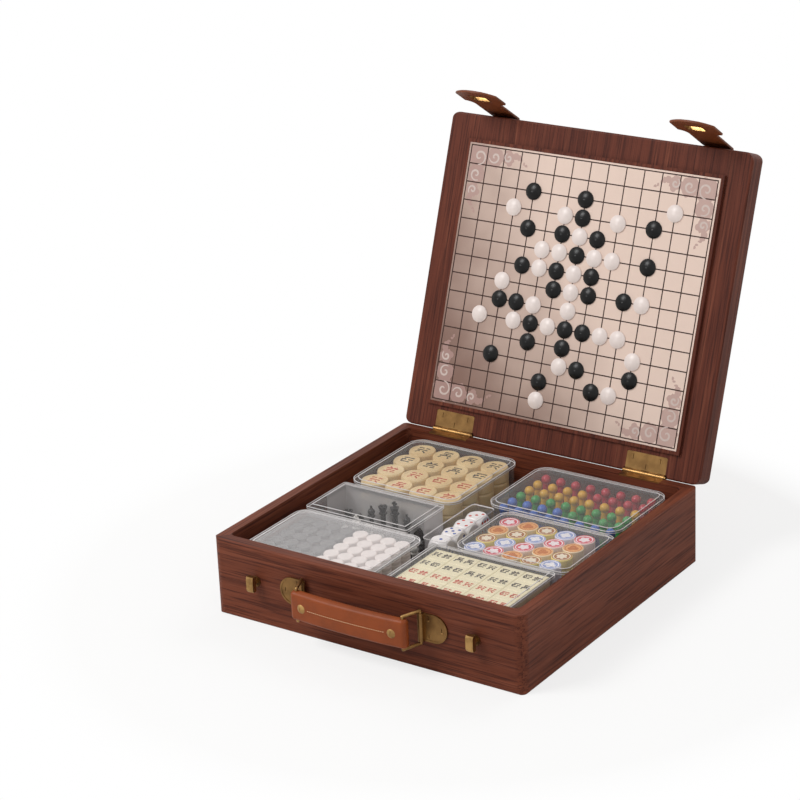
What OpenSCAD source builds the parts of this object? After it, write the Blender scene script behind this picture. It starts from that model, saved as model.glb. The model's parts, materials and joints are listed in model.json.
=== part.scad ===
// Games compendium box: a wooden case with a board on each side of its lid,
// a leather handle, two leather strap clasps with brass turn buttons, and
// clear cases of playing pieces. It is drawn lying on its base with the lid
// open. Millimetres; X runs along the front, Y to the back, Z up, and the
// origin is at the centre of the underside.

/* [Box] */
// Width of the box along the front
box_w = 320; // [306:1:360]
// Depth of the box, front to back
box_d = 302; // [294:1:340]
// Height of the base
base_h = 73; // [73:0.5:90]
// Thickness of the lid
lid_t = 21; // [19:0.5:26]
// Thickness of the base's walls
wall_t = 11; // [9:0.5:12]
// Radius of the upright corners
corner_r = 9; // [8:0.5:14]
// Rounding along the long outer edges
edge_r = 2; // [1:0.25:3]
// Thickness of the floor board
floor_t = 5; // [3:0.5:5]
// Seam between the base and the closed lid
seam = 0.4; // [0.3:0.1:0.8]
// How far the lid stands open
lid_open = 110; // [95:1:120]

/* [Lid boards] */
// Inner face of the lid's frame, edge to board
inner_margin = 23.5; // [22:0.5:26]
// Outer face of the lid's frame, edge to recess
outer_margin = 31; // [29:0.5:34]
// How far the inner board stands proud of the frame
board_proud = 3; // [2:0.25:3.5]
// How deep the outer board lies in its recess
recess_d = 4.5; // [3:0.5:6]
// Thickness of the outer, raised field of the panel
field_t = 6.5; // [5:0.5:8]
// Groove round the outer board
field_gap = 3; // [2:0.25:4]
// Wooden edge left round the inner board
board_rim = 3.4; // [2.5:0.1:4.5]
// Wooden edge left round the outer board
outer_rim = 6; // [4:0.5:8]
// Thickness of each printed board
print_t = 0.6; // [0.5:0.1:1]
// Thickness of the steel sheet under the inner board
steel_t = 0.5; // [0.4:0.1:0.8]
// Bare edge of the inner board outside its grid
grid_edge = 2.2; // [1.5:0.1:3]
// Bare edge of the outer board, left and right
outer_edge_x = 16.5; // [12:0.5:18]
// Bare edge of the outer board, top and bottom
outer_edge_y = 2.6; // [2:0.1:5]
// Width of the inner board's scored lines
line_w = 0.8; // [0.5:0.1:1]
// Depth of the scored lines
line_d = 0.2; // [0.1:0.05:0.3]

/* [Stones on the board] */
// Diameter of a magnetic stone
stone_dia = 16.2; // [14:0.2:16.6]
// Height of a magnetic stone
stone_h = 3.5; // [3:0.1:4]
// Room between the stones and the cases when the lid is shut
stone_clear = 0.6; // [0.4:0.1:1]

/* [Hinges] */
// Length of a hinge
hinge_w = 42; // [36:1:50]
// Depth of the leaf on the lid
lid_leaf_d = 19; // [17:0.5:20]
// Thickness of a leaf
leaf_t = 1.3; // [1:0.1:1.6]
// Radius of the knuckles
knuckle_r = 2.5; // [2.2:0.1:2.8]
// Radius of the hinge pin
pin_r = 1.2; // [1:0.1:1.4]
// How far the hinge line stands behind the back, let into it where negative
hinge_back = -0.5; // [-0.6:0.1:0]
// Distance of a hinge's centre from the box's side
hinge_side = 56; // [52:1:70]
// Gap between knuckles
knuckle_gap = 0.2; // [0.1:0.05:0.3]
// How far the pin and its head reach past the knuckles
pin_head = 1; // [0.8:0.1:1.4]

/* [Handle] */
// Height of the handle's and buttons' centre line
grip_z = 41; // [38:0.5:46]
// Distance of a loop's inner pivot from the middle
loop_x = 61; // [58:0.5:66]
// Distance of a loop's outer pivot from the middle
grip_x = 54.5; // [50:0.5:56]
// How far the grip stands in front of the barrels
loop_out = 17; // [15:0.5:20]
// Radius of the loops' wire
wire_r = 1.5; // [1.2:0.1:1.8]
// Height of the grip
grip_h = 26.5; // [24:0.5:28]
// Thickness of the grip
grip_t = 9; // [7:0.5:10]
// Rise of the grip's arch
grip_rise = 2.5; // [1:0.25:5]
// Height of a handle plate
plate_h = 26; // [24:0.5:28]
// Straight length of a handle plate
plate_l = 12.4; // [10:0.2:16]
// Thickness of a handle plate
plate_t = 1.6; // [1.2:0.1:2]
// Radius of a plate's barrel
barrel_r = 2.7; // [2.4:0.1:3]

/* [Clasps] */
// Distance of a clasp's centre from the box's side
clasp_side = 46.5; // [42:0.5:52]
// Width of a strap where it is riveted
strap_w = 29; // [27:0.5:32]
// Width of the strap's flap
flap_w = 45; // [40:0.5:50]
// Thickness of the leather
leather_t = 2.4; // [2:0.1:2.8]
// Length of the riveted part on the lid
strap_root = 28; // [25:0.5:29]
// How far the flap reaches below the buttons' centre
flap_tip = 17; // [15:0.5:20]
// How far the flap leans out at rest
flap_lean = 14; // [13:0.5:20]
// Width of the eyelet plate
eyelet_w = 25; // [23:0.5:28]
// Height of the eyelet plate
eyelet_h = 22; // [20:0.5:24]
// Width of the slot
slot_w = 18; // [17:0.5:19]
// Height of the slot
slot_h = 10.5; // [10:0.25:12]
// Length of a turn button
button_l = 14.4; // [13:0.2:15]
// Width of a turn button
button_w = 7.2; // [6.5:0.1:8]
// Depth of a turn button's head
button_d = 4.8; // [4:0.2:5]
// Clear neck behind a turn button's head
button_neck = 5; // [5:0.1:5.4]

/* [Cases] */
// Wall of a clear case
case_wall = 1.2; // [1:0.1:1.5]
// Overhang of a case's rim and lid
case_rim = 1.5; // [1:0.1:2]
// Thickness of a case's lid at its edge
lid_edge = 1.2; // [1:0.1:1.6]
// Rise of a case lid's middle
lid_rise = 1.4; // [1:0.1:2]
// Inset of a case lid's raised middle
lid_inset = 4.5; // [4:0.25:6]
// Gap between the left cases and the wall
left_gap = 11; // [8:0.5:12]
// Gap between the nearest right case and the wall
right_gap = 6; // [4:0.5:8]
// Gap between the front cases and the wall
front_gap = 4.5; // [2:0.5:5]
// Gap between the back cases and the wall
back_gap = 1; // [0.5:0.5:3]
// Gap between one case and the next
case_gap = 4.5; // [2:0.5:5]

/* [Playing pieces] */
// Space from a case's outline to its pieces
piece_margin = 4.6; // [4.5:0.1:5]
// Space from a case's outline to the low pieces, clear of the lid's plug
foot_margin = 3.1; // [3:0.1:3.5]
// Air above the pieces under a case's lid
head_room = 1.5; // [1:0.1:3]
// Gap between round wooden men
disc_gap = 0.4; // [0.3:0.1:2]
// Gap between piles of spare stones
spare_gap = 0.5; // [0.4:0.1:2]
// Space from the stone case's outline to its piles
spare_margin = 7.2; // [5:0.1:8]
// Gap between tiles
tile_gap = 0.3; // [0.2:0.1:1]
// Gap between picture discs
token_gap = 0.4; // [0.3:0.1:2]
// Gap between the feet of the pegs
peg_gap = 1.6; // [1:0.1:3]
// Gap between the feet of the chess men
man_gap = 0.7; // [0.4:0.1:2]
// Gap between dice
die_gap = 1.8; // [1:0.1:4]

/* [Hidden] */
$fn = 48;
e = 0.01;

wood = "#5c3024";
wood_lid = "#4f2a20";
brass = "#b08d4c";
leather = "#8c4a28";
clear = [0.86, 0.86, 0.88, 0.45];
paper = "#e0c6b2";

// The lid is drawn shut, from seam_z up, and turned about the hinge line.
seam_z = base_h + seam;
lid_top = seam_z + lid_t;
front_y = -box_d / 2;
back_y = box_d / 2;
hinge_y = back_y + hinge_back;
hinge_z = base_h + seam / 2;
in_x = box_w / 2 - wall_t;
in_y = box_d / 2 - wall_t;
in_r = 6;
hinge_x = box_w / 2 - hinge_side;
clasp_x = box_w / 2 - clasp_side;

// Where each board's grid starts, and its cells
inner_w = box_w - 2 * inner_margin;
inner_d = box_d - 2 * inner_margin;
grid_n = 14;
grid_w = inner_w - 2 * (board_rim + grid_edge);
grid_d = inner_d - 2 * (board_rim + grid_edge);
cell_x = grid_w / grid_n;
cell_y = grid_d / grid_n;
field_w = box_w - 2 * (outer_margin + field_gap);
field_d = box_d - 2 * (outer_margin + field_gap);
outer_w = field_w - 2 * outer_rim;
outer_d = field_d - 2 * outer_rim;
files = 8;
ranks = 9;
file_w = (outer_w - 2 * outer_edge_x) / files;
rank_w = (outer_d - 2 * outer_edge_y) / ranks;
flange_t = lid_t - recess_d - field_t;

// A game in play: b and w are stones, the first row is the far one.
GAME = [
    "...............",
    "...............",
    "....b..b....w..",
    "...w..wb.w.b...",
    "....b.bwb......",
    ".....wwbww.b...",
    "....bwbwb......",
    "...w..bwb.bw...",
    "...bbw.w.......",
    "..w.wbwbbww....",
    ".....b.b...w...",
    "...b...wb..b...",
    "......b..bw....",
    "......w........",
    "..............."];

// The cases stand in two columns with the dice tray between them. Each takes
// its share of the room inside: widths of the whole width, and depths of what
// the gaps leave of the depth. The back cases take what is left.
room_w = 2 * in_x;
room_d = 2 * in_y - front_gap - 2 * case_gap - back_gap;
stone_share = [0.45, 0.332];
chess_share = [0.3725, 0.234];
disc_share = 0.3926;
tile_share = [0.416, 0.316];
token_share = [0.396, 0.324];
peg_share = 0.4564;
dice_share = [0.0806, 0.316];
dice_place = 0.0336;
tile_inset = 0.0336;
peg_inset = 0.02;

// Each case is [x, y, width, depth, corner radius] from its near left corner.
left_x = -in_x + left_gap;
right_x = in_x - right_gap;
near_y = -in_y + front_gap;
far_y = in_y - back_gap;
stone_case = [left_x, near_y, room_w * stone_share[0], room_d * stone_share[1], 12];
chess_y = near_y + stone_case[3] + case_gap;
chess_case = [left_x, chess_y, room_w * chess_share[0], room_d * chess_share[1], 3];
disc_y = chess_y + chess_case[3] + case_gap;
disc_case = [left_x, disc_y, room_w * disc_share, far_y - disc_y, 14];
tile_case = [right_x - room_w * (tile_share[0] + tile_inset), near_y,
    room_w * tile_share[0], room_d * tile_share[1], 5];
token_y = near_y + tile_case[3] + case_gap / 2;
token_case = [right_x - room_w * token_share[0], token_y,
    room_w * token_share[0], room_d * token_share[1], 12];
peg_y = token_y + token_case[3] + case_gap;
peg_case = [right_x - room_w * (peg_share + peg_inset), peg_y,
    room_w * peg_share, far_y - peg_y, 14];
dice_case = [-room_w * dice_place, chess_y - case_gap / 2,
    room_w * dice_share[0], room_d * dice_share[1], 4];
case_top = seam_z - board_proud - stone_h - stone_clear;
case_h = case_top - floor_t;
tray_h = case_h - lid_edge - lid_rise;
tray_in = case_rim + case_wall;
plug_d = 3;
plug_gap = 0.25;

// Air between pieces in one pile
piece_gap = 0.05;

// Room for one of n pieces side by side along a length with margins
function pitch(length, n, margin) = (length - 2 * margin) / n;
// Height of one of n pieces in a pile that fills a case
function layer(n) = (tray_h - case_wall - head_room) / n - piece_gap;

// Playing pieces fill their cases, in columns, rows and layers.
disc_n = [4, 4, 4];
disc_p = [pitch(disc_case[2], disc_n[0], piece_margin),
    pitch(disc_case[3], disc_n[1], piece_margin)];
disc_dia = min(disc_p[0], disc_p[1]) - disc_gap;
disc_t = layer(disc_n[2]);
spare_n = [8, 5, 14];
spare_p = min(pitch(stone_case[2], spare_n[0], spare_margin),
    pitch(stone_case[3], spare_n[1], spare_margin));
spare_dia = spare_p - spare_gap;
spare_t = layer(spare_n[2]);
tile_n = [5, 4, 5];
tile_p = [pitch(tile_case[2], tile_n[0], piece_margin),
    pitch(tile_case[3], tile_n[1], piece_margin)];
tile_w = tile_p[0] - tile_gap;
tile_d = tile_p[1] - tile_gap;
tile_t = layer(tile_n[2]);
token_n = [5, 4, 5];
token_room = 0.6;
token_p = min(pitch(token_case[2], token_n[0] + token_room, piece_margin),
    pitch(token_case[3], token_n[1], piece_margin));
token_dia = token_p - token_gap;
token_t = layer(token_n[2]);
peg_n = [8, 6, 2];
peg_p = [pitch(peg_case[2], peg_n[0], piece_margin),
    pitch(peg_case[3], peg_n[1], piece_margin)];
peg_dia = min(peg_p[0], peg_p[1]) - peg_gap;
peg_head = 0.68 * peg_dia;
peg_nest = 5;
peg_h = (tray_h - case_wall - head_room + peg_nest) / peg_n[2] - piece_gap;
man_n = [8, 4];
man_p = [pitch(chess_case[2], man_n[0], foot_margin),
    pitch(chess_case[3], man_n[1], foot_margin)];
man_dia = min(man_p[0], man_p[1]) - man_gap;
king_h = tray_h - case_wall - head_room;
die_n = [1, 4, 3];
die_p = pitch(dice_case[3], die_n[1], foot_margin);
die = min(dice_case[2] - 2 * foot_margin, die_p - die_gap, layer(die_n[2]));

// Screws and rivets
screw_r = 1.2;
screw_head = 2.3;
screw_l = 8;
plate_screw_l = 7;
rivet_r = 1.3;
rivet_head = 3;
spindle_r = 2.5;
hole_gap = 0.1;

// Outline of a rectangle with round corners, centred
module round_rect(w, d, r) {
    square([w - 2 * r, d], center = true);
    square([w, d - 2 * r], center = true);
    for (x = [-1, 1], y = [-1, 1])
        translate([x * (w / 2 - r), y * (d / 2 - r)]) circle(r);
}

// A block with round upright corners and eased long edges
module eased_block(w, d, h, r, ease) {
    intersection() {
        linear_extrude(h) round_rect(w, d, r);
        translate([0, d / 2 + e, h / 2]) rotate([90, 0, 0])
            linear_extrude(d + 2 * e) round_rect(w, h, ease);
        translate([-w / 2 - e, 0, h / 2]) rotate([90, 0, 90])
            linear_extrude(w + 2 * e) round_rect(d, h, ease);
    }
}

// Turns what is drawn on the shut lid to where the lid stands
module on_lid() {
    translate([0, hinge_y, hinge_z]) rotate([-lid_open, 0, 0])
        translate([0, -hinge_y, -hinge_z]) children();
}

// Both hinges, or both clasps
module each_side(x) {
    for (s = [-1, 1]) translate([s * x, 0, 0]) children();
}

// A countersunk wood screw pointing down, its head's top at the origin
module screw(l = screw_l, r = screw_r, head = screw_head) {
    difference() {
        union() {
            translate([0, 0, -head + r]) cylinder(h = head - r, r1 = r, r2 = head);
            translate([0, 0, -l]) cylinder(h = l - head + r + e, r = r, $fn = 24);
        }
        translate([0, 0, -0.4]) cube([0.6, 2.4 * head, 1], center = true);
    }
}

// The hole that a screw is driven into
module screw_hole(l = screw_l, r = screw_r, head = screw_head) {
    translate([0, 0, -head + r]) cylinder(h = head - r, r1 = r + hole_gap, r2 = head + hole_gap);
    translate([0, 0, -l - 0.5]) cylinder(h = l + 0.5, r = r + hole_gap, $fn = 24);
}

// Places of the screws in a leaf, from its centre line on the back edge
lid_leaf_screws = [[-14, 14.5], [14, 14.5], [0, 7]];
base_leaf_screws = [[-15, 7], [0, 7], [15, 7]];

// Base

module base_frame() {
    color(wood) difference() {
        eased_block(box_w, box_d, base_h, corner_r, edge_r);
        translate([0, 0, floor_t]) linear_extrude(base_h)
            round_rect(2 * in_x, 2 * in_y, in_r);
        translate([0, 0, -e]) linear_extrude(floor_t + 2 * e)
            round_rect(2 * in_x + wall_t, 2 * in_y + wall_t, in_r);
        each_side(hinge_x) {
            translate([-hinge_w / 2, in_y - e, base_h - leaf_t])
                cube([hinge_w, wall_t + 2, leaf_t + 1]);
            for (p = base_leaf_screws)
                translate([p[0], back_y - p[1], base_h]) screw_hole();
            hinge_channel();
        }
        each_side(clasp_x) translate([0, front_y - 1, grip_z])
            rotate([-90, 0, 0]) cylinder(h = wall_t + 2, r = spindle_r + hole_gap);
        plate_screws() screw_hole(l = plate_screw_l);
    }
}

module base_floor() {
    color(wood) linear_extrude(floor_t)
        round_rect(2 * in_x + wall_t, 2 * in_y + wall_t, in_r);
}

// Hinges

knuckles = 5;
knuckle_w = hinge_w / knuckles;
channel_gap = 0.4;
leaf_end = hinge_y - knuckle_r - 0.3;

// Channel in the wood round the knuckles and the pin's heads
module hinge_channel() {
    w = hinge_w + 2 * (pin_head + channel_gap);
    translate([-w / 2, hinge_y, hinge_z]) rotate([0, 90, 0])
        cylinder(h = w, r = knuckle_r + channel_gap);
}

// The knuckles of one leaf: the even ones on the base, the odd on the lid
module knuckle_row(first) {
    for (i = [first:2:knuckles - 1])
        translate([-hinge_w / 2 + i * knuckle_w + knuckle_gap / 2, hinge_y, hinge_z])
            rotate([0, 90, 0]) cylinder(h = knuckle_w - knuckle_gap, r = knuckle_r);
}

// Web from the leaf into its own knuckles
module knuckle_web(first, z) {
    for (i = [first:2:knuckles - 1])
        translate([-hinge_w / 2 + i * knuckle_w + knuckle_gap / 2, leaf_end - 0.5, z])
            cube([knuckle_w - knuckle_gap, hinge_y - leaf_end + 0.5, leaf_t]);
}

module pin_bore() {
    translate([-hinge_w, hinge_y, hinge_z]) rotate([0, 90, 0])
        cylinder(h = 2 * hinge_w, r = pin_r + 0.06);
}

module hinge_base_leaves() {
    color(brass) each_side(hinge_x) difference() {
        union() {
            translate([-hinge_w / 2 + 0.1, in_y + 0.3, base_h - leaf_t])
                cube([hinge_w - 0.2, leaf_end - in_y - 0.3, leaf_t]);
            knuckle_web(0, base_h - leaf_t);
            knuckle_row(0);
        }
        pin_bore();
        for (p = base_leaf_screws)
            translate([p[0], back_y - p[1], base_h]) screw_hole();
    }
}

module hinge_lid_leaves() {
    color(brass) on_lid() each_side(hinge_x) difference() {
        union() {
            translate([0, (leaf_end + back_y - lid_leaf_d) / 2, seam_z])
                linear_extrude(leaf_t)
                    round_rect(hinge_w - 0.2, leaf_end - back_y + lid_leaf_d, 1.5);
            translate([-hinge_w / 2 + 0.1, leaf_end - 2.6, seam_z])
                cube([hinge_w - 0.2, 2.6, leaf_t]);
            knuckle_web(1, seam_z);
            knuckle_row(1);
        }
        pin_bore();
        for (p = lid_leaf_screws)
            translate([p[0], back_y - p[1], seam_z]) mirror([0, 0, 1]) screw_hole();
    }
}

module hinge_pins() {
    color(brass) each_side(hinge_x) {
        translate([-hinge_w / 2 - 0.3, hinge_y, hinge_z]) rotate([0, 90, 0])
            cylinder(h = hinge_w + 0.6, r = pin_r);
        for (s = [0, 1]) mirror([s, 0, 0])
            translate([hinge_w / 2 + 0.1, hinge_y, hinge_z]) rotate([0, 90, 0])
                cylinder(h = pin_head - 0.1, r = pin_r + 0.7);
    }
}

module hinge_base_screws() {
    color(brass) each_side(hinge_x) for (p = base_leaf_screws)
        translate([p[0], back_y - p[1], base_h]) screw();
}

module hinge_lid_screws() {
    color(brass) on_lid() each_side(hinge_x) for (p = lid_leaf_screws)
        translate([p[0], back_y - p[1], seam_z]) mirror([0, 0, 1]) screw();
}

// Handle

barrel_y = front_y - barrel_r - 0.4;
bar_y = barrel_y - loop_out;
loop_h = grip_h + 2 * wire_r + 0.8;

// The right-hand handle fittings, or their mirror image
module on_side(side) {
    if (side > 0) children();
    else mirror([1, 0, 0]) children();
}

module plate_outline() {
    difference() {
        union() {
            translate([loop_x, -plate_h / 2]) square([plate_l, plate_h]);
            translate([loop_x + plate_l, 0]) circle(plate_h / 2);
        }
        translate([loop_x - plate_h, -plate_h]) square([plate_h, 2 * plate_h]);
    }
}

// The plates' faces lie inside a raised lip
plate_lip = 0.4;
lip_w = 1.6;
plate_face = front_y - plate_t + plate_lip;

// Three screws hold each plate, pointing into the wood
module plate_screws() {
    for (side = [-1, 1]) for (p = [[7, 8.5], [7, -8.5], [plate_l + 7.5, 0]])
        translate([side * (loop_x + p[0]), plate_face, grip_z + p[1]])
            rotate([90, 0, 0]) children();
}

module handle_plates() {
    color(brass) difference() {
        for (side = [-1, 1]) on_side(side) difference() {
            union() {
                translate([0, front_y, grip_z]) rotate([90, 0, 0])
                    linear_extrude(plate_t) plate_outline();
                translate([loop_x, barrel_y, grip_z - plate_h / 2])
                    cylinder(h = plate_h, r = barrel_r);
                translate([loop_x, barrel_y, grip_z - plate_h / 2])
                    cube([barrel_r, front_y - barrel_y, plate_h]);
            }
            translate([0, plate_face, grip_z]) rotate([90, 0, 0]) linear_extrude(plate_t) {
                translate([loop_x + barrel_r + 1, -plate_h / 2 + lip_w])
                    square([plate_l - barrel_r - 1, plate_h - 2 * lip_w]);
                intersection() {
                    translate([loop_x + plate_l, 0]) circle(plate_h / 2 - lip_w);
                    translate([loop_x + plate_l - e, -plate_h]) square([plate_h, 2 * plate_h]);
                }
            }
            translate([loop_x, barrel_y, grip_z - plate_h])
                cylinder(h = 2 * plate_h, r = wire_r + 0.15);
        }
        plate_screws() screw_hole(l = plate_screw_l);
    }
}

module handle_screws() {
    color(brass) plate_screws() screw(l = plate_screw_l);
}

// A rectangular wire loop between the plate's barrel and the grip
module wire_loop() {
    dx = grip_x - loop_x;
    len = sqrt(dx * dx + loop_out * loop_out);
    turn = atan2(-loop_out, dx);
    translate([loop_x, barrel_y, grip_z]) rotate([0, 0, turn]) {
        for (x = [0, len], z = [-1, 1])
            translate([x, 0, z * loop_h / 2]) sphere(wire_r);
        for (x = [0, len]) translate([x, 0, -loop_h / 2])
            cylinder(h = loop_h, r = wire_r);
        for (z = [-1, 1]) translate([0, 0, z * loop_h / 2])
            rotate([0, 90, 0]) cylinder(h = len, r = wire_r);
    }
}

module handle_loop_left() {
    color(brass) on_side(-1) wire_loop();
}

module handle_loop_right() {
    color(brass) on_side(1) wire_loop();
}

stud_x = 46;
stud_r = 2;
stud_head = 4.8;
arch_r = (grip_x * grip_x + grip_rise * grip_rise) / (2 * grip_rise);
arch_a = 2 * asin(grip_x / arch_r);

// The middle of the grip at each stud, with Z towards the front
module at_studs() {
    for (s = [-1, 1]) translate([0, bar_y - grip_rise + arch_r, grip_z])
        rotate([0, 0, s * asin(stud_x / arch_r)]) translate([0, -arch_r, 0])
            rotate([90, 0, 0]) children();
}

// The grip is a gentle arch whose ends wrap round the loops' outer bars.
// Its right end has the wider eye.
module handle_grip() {
    color(leather) difference() {
        union() {
            translate([0, bar_y - grip_rise + arch_r, grip_z])
                rotate([0, 0, -90 - arch_a / 2])
                    rotate_extrude(angle = arch_a, $fn = 720)
                        translate([arch_r, 0]) round_rect(grip_t, grip_h, 3.2);
            for (s = [-1, 1]) translate([s * grip_x, bar_y, grip_z - grip_h / 2 + 0.5])
                cylinder(h = grip_h - 1, r = grip_t / 2 + 0.5);
        }
        translate([-grip_x, bar_y, grip_z - grip_h])
            cylinder(h = 2 * grip_h, r = wire_r + 0.15);
        translate([grip_x, bar_y, grip_z - grip_h])
            cylinder(h = 2 * grip_h, r = wire_r + 0.9);
        at_studs() translate([0, 0, -grip_t]) cylinder(h = 2 * grip_t, r = stud_r + hole_gap);
    }
}

// A slotted stud on each end of the grip, with its post and back plate
module grip_studs() {
    color(brass) at_studs() {
        translate([0, 0, -grip_t / 2 - 0.9]) cylinder(h = grip_t + 1.4, r = stud_r);
        translate([0, 0, -grip_t / 2 - 1.5]) cylinder(h = 0.9, r = 2 * stud_r);
        translate([0, 0, grip_t / 2 + 0.2]) difference() {
            intersection() {
                cylinder(h = 2, r = stud_head);
                translate([0, 0, -5.4]) sphere(7);
            }
            translate([0, 0, 1.6]) cube([1, 2.5 * stud_head, 0.8], center = true);
        }
    }
}

// Clasps

bush_t = 0.8;

// A turn button: head, neck and a spindle riveted inside the wall
module turn_button(x) {
    color(brass) translate([x, front_y, grip_z]) rotate([90, 0, 0]) {
        translate([0, 0, button_neck]) intersection() {
            translate([-button_w / 2, -button_l / 2, 0]) cube([button_w, button_l, button_d]);
            translate([0, 0, button_d - 12.6]) rotate([0, 90, 0]) sphere(r = 14, $fn = 96);
        }
        translate([0, 0, -wall_t - 1]) cylinder(h = wall_t + 1 + button_neck + e, r = spindle_r);
        translate([0, 0, -wall_t - 2.1]) cylinder(h = 1.2, r = spindle_r + 0.8);
    }
}

module button_left() turn_button(-clasp_x);

module button_right() turn_button(clasp_x);

// The bush outside the wall and the washer inside it
module button_bushes() {
    color(brass) each_side(clasp_x) translate([0, front_y, grip_z]) rotate([90, 0, 0]) {
        difference() {
            union() {
                cylinder(h = bush_t, r = 5);
                translate([0, 0, -wall_t - 0.8]) cylinder(h = 0.8, r = 4.5);
            }
            translate([0, 0, -wall_t - 2]) cylinder(h = wall_t + 4, r = spindle_r + hole_gap);
        }
    }
}

// The flap hinges about the lid's outer front edge. Drawn in the latched
// place, with s measured down from that edge.
flap_len = lid_top - grip_z + flap_tip;
flap_gap = 0.25;
eyelet_s = lid_top - grip_z;

module flap_turn(side) {
    on_lid() translate([side * clasp_x, front_y, lid_top])
        rotate([-flap_lean, 0, 0]) children();
}

// The flap's outline: a neck that flares into a shield with cut corners
module flap_outline() {
    flare = (flap_w - strap_w) / 2;
    shield_top = eyelet_s - eyelet_h / 2 - 8;
    translate([-strap_w / 2, -shield_top - flare]) square([strap_w, shield_top + flare]);
    difference() {
        translate([-flap_w / 2, -shield_top - flare]) square([flap_w, flare]);
        for (s = [-1, 1]) translate([s * flap_w / 2, -shield_top]) circle(flare);
    }
    intersection() {
        translate([-flap_w / 2, -flap_len]) square([flap_w, flap_len - shield_top - flare + e]);
        translate([0, -flap_len + 34]) circle(34, $fn = 96);
    }
}

module strap_flap(side) {
    color(leather) flap_turn(side) {
        difference() {
            union() {
                translate([0, -flap_gap, 0]) rotate([90, 0, 0])
                    linear_extrude(leather_t) flap_outline();
                translate([-strap_w / 2, 0, 0]) rotate([0, 90, 0]) intersection() {
                    difference() {
                        cylinder(h = strap_w, r = leather_t + flap_gap);
                        translate([0, 0, -e]) cylinder(h = strap_w + 2 * e, r = flap_gap, $fn = 24);
                    }
                    translate([-10, -10, 0]) cube([10 + e, 10, strap_w]);
                }
            }
            translate([0, e, -eyelet_s]) rotate([90, 0, 0]) linear_extrude(10)
                round_rect(slot_w + 2.2, slot_h + 2.2, 2.6);
        }
    }
}

module strap_flap_left() strap_flap(-1);

module strap_flap_right() strap_flap(1);

// Brass eyelet: a stepped plate in front with a sleeve through the leather
module eyelet(side) {
    color(brass) flap_turn(side) translate([0, -flap_gap, -eyelet_s]) rotate([90, 0, 0])
        difference() {
            union() {
                translate([0, 0, leather_t]) linear_extrude(0.6)
                    round_rect(eyelet_w, eyelet_h, 1.5);
                translate([0, 0, leather_t]) linear_extrude(1)
                    round_rect(eyelet_w - 2, eyelet_h - 2, 1);
                linear_extrude(leather_t + 1) round_rect(slot_w + 2, slot_h + 2, 2.5);
            }
            translate([0, 0, -2]) linear_extrude(10) round_rect(slot_w, slot_h, 1.5);
        }
}

module eyelet_left() eyelet(-1);

module eyelet_right() eyelet(1);

rivet_places = [[-8, 19.5], [8, 19.5], [0, 25]];

module strap_roots() {
    start = leather_t + flap_gap + 0.25;
    color(leather) on_lid() each_side(clasp_x) difference() {
        translate([-strap_w / 2, front_y + start, lid_top])
            cube([strap_w, strap_root - start, leather_t]);
        for (p = rivet_places) translate([p[0], front_y + p[1], lid_top - e])
            cylinder(h = 2 * leather_t, r = rivet_r + hole_gap);
    }
}

module strap_rivets() {
    color(brass) on_lid() each_side(clasp_x) for (p = rivet_places)
        translate([p[0], front_y + p[1], lid_top]) {
            translate([0, 0, -7]) cylinder(h = 7 + leather_t + e, r = rivet_r);
            translate([0, 0, leather_t]) intersection() {
                cylinder(h = 2, r = rivet_head);
                translate([0, 0, -1.9]) sphere(3.6);
            }
        }
}

// Lid

module lid_frame() {
    color(wood_lid) on_lid() difference() {
        translate([0, 0, seam_z]) eased_block(box_w, box_d, lid_t, corner_r, edge_r);
        translate([0, 0, seam_z - e]) linear_extrude(flange_t + e)
            square([inner_w, inner_d], center = true);
        linear_extrude(lid_top + 1)
            square([box_w - 2 * outer_margin, box_d - 2 * outer_margin], center = true);
        each_side(hinge_x) {
            translate([-hinge_w / 2, back_y - lid_leaf_d - 0.1, seam_z - e])
                cube([hinge_w, lid_leaf_d + 2, leaf_t + e]);
            for (p = lid_leaf_screws)
                translate([p[0], back_y - p[1], seam_z]) mirror([0, 0, 1]) screw_hole();
            hinge_channel();
        }
        each_side(clasp_x) for (p = rivet_places)
            translate([p[0], front_y + p[1], lid_top - 7.5])
                cylinder(h = 10, r = rivet_r + hole_gap);
    }
}

// The panel sits in the frame's rebate. One face stands proud inside, the
// other is a smaller field down in the outer recess.
module lid_panel() {
    color(wood_lid) on_lid() difference() {
        union() {
            translate([0, 0, seam_z - board_proud]) linear_extrude(board_proud + flange_t)
                square([inner_w, inner_d], center = true);
            translate([0, 0, seam_z + flange_t - e]) linear_extrude(field_t + e)
                square([field_w, field_d], center = true);
        }
        translate([0, 0, seam_z - board_proud - e]) linear_extrude(print_t + steel_t + e)
            square([inner_w - 2 * board_rim, inner_d - 2 * board_rim], center = true);
        translate([0, 0, lid_top - recess_d - print_t]) linear_extrude(print_t + e)
            square([outer_w, outer_d], center = true);
    }
}

module steel_sheet() {
    color("silver") on_lid() translate([0, 0, seam_z - board_proud + print_t])
        linear_extrude(steel_t)
            square([inner_w - 2 * board_rim, inner_d - 2 * board_rim], center = true);
}

// Scored lines of a grid, centred, each a thin bar
module score(nx, ny, cx, cy, w) {
    for (i = [0:nx]) translate([(i - nx / 2) * cx, 0, 0])
        cube([w, ny * cy + w, 2 * line_d], center = true);
    for (j = [0:ny]) translate([0, (j - ny / 2) * cy, 0])
        cube([nx * cx + w, w, 2 * line_d], center = true);
}

module inner_board() {
    color(paper) on_lid() translate([0, 0, seam_z - board_proud]) difference() {
        linear_extrude(print_t)
            square([inner_w - 2 * board_rim, inner_d - 2 * board_rim], center = true);
        score(grid_n, grid_n, cell_x, cell_y, line_w);
    }
}

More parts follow.
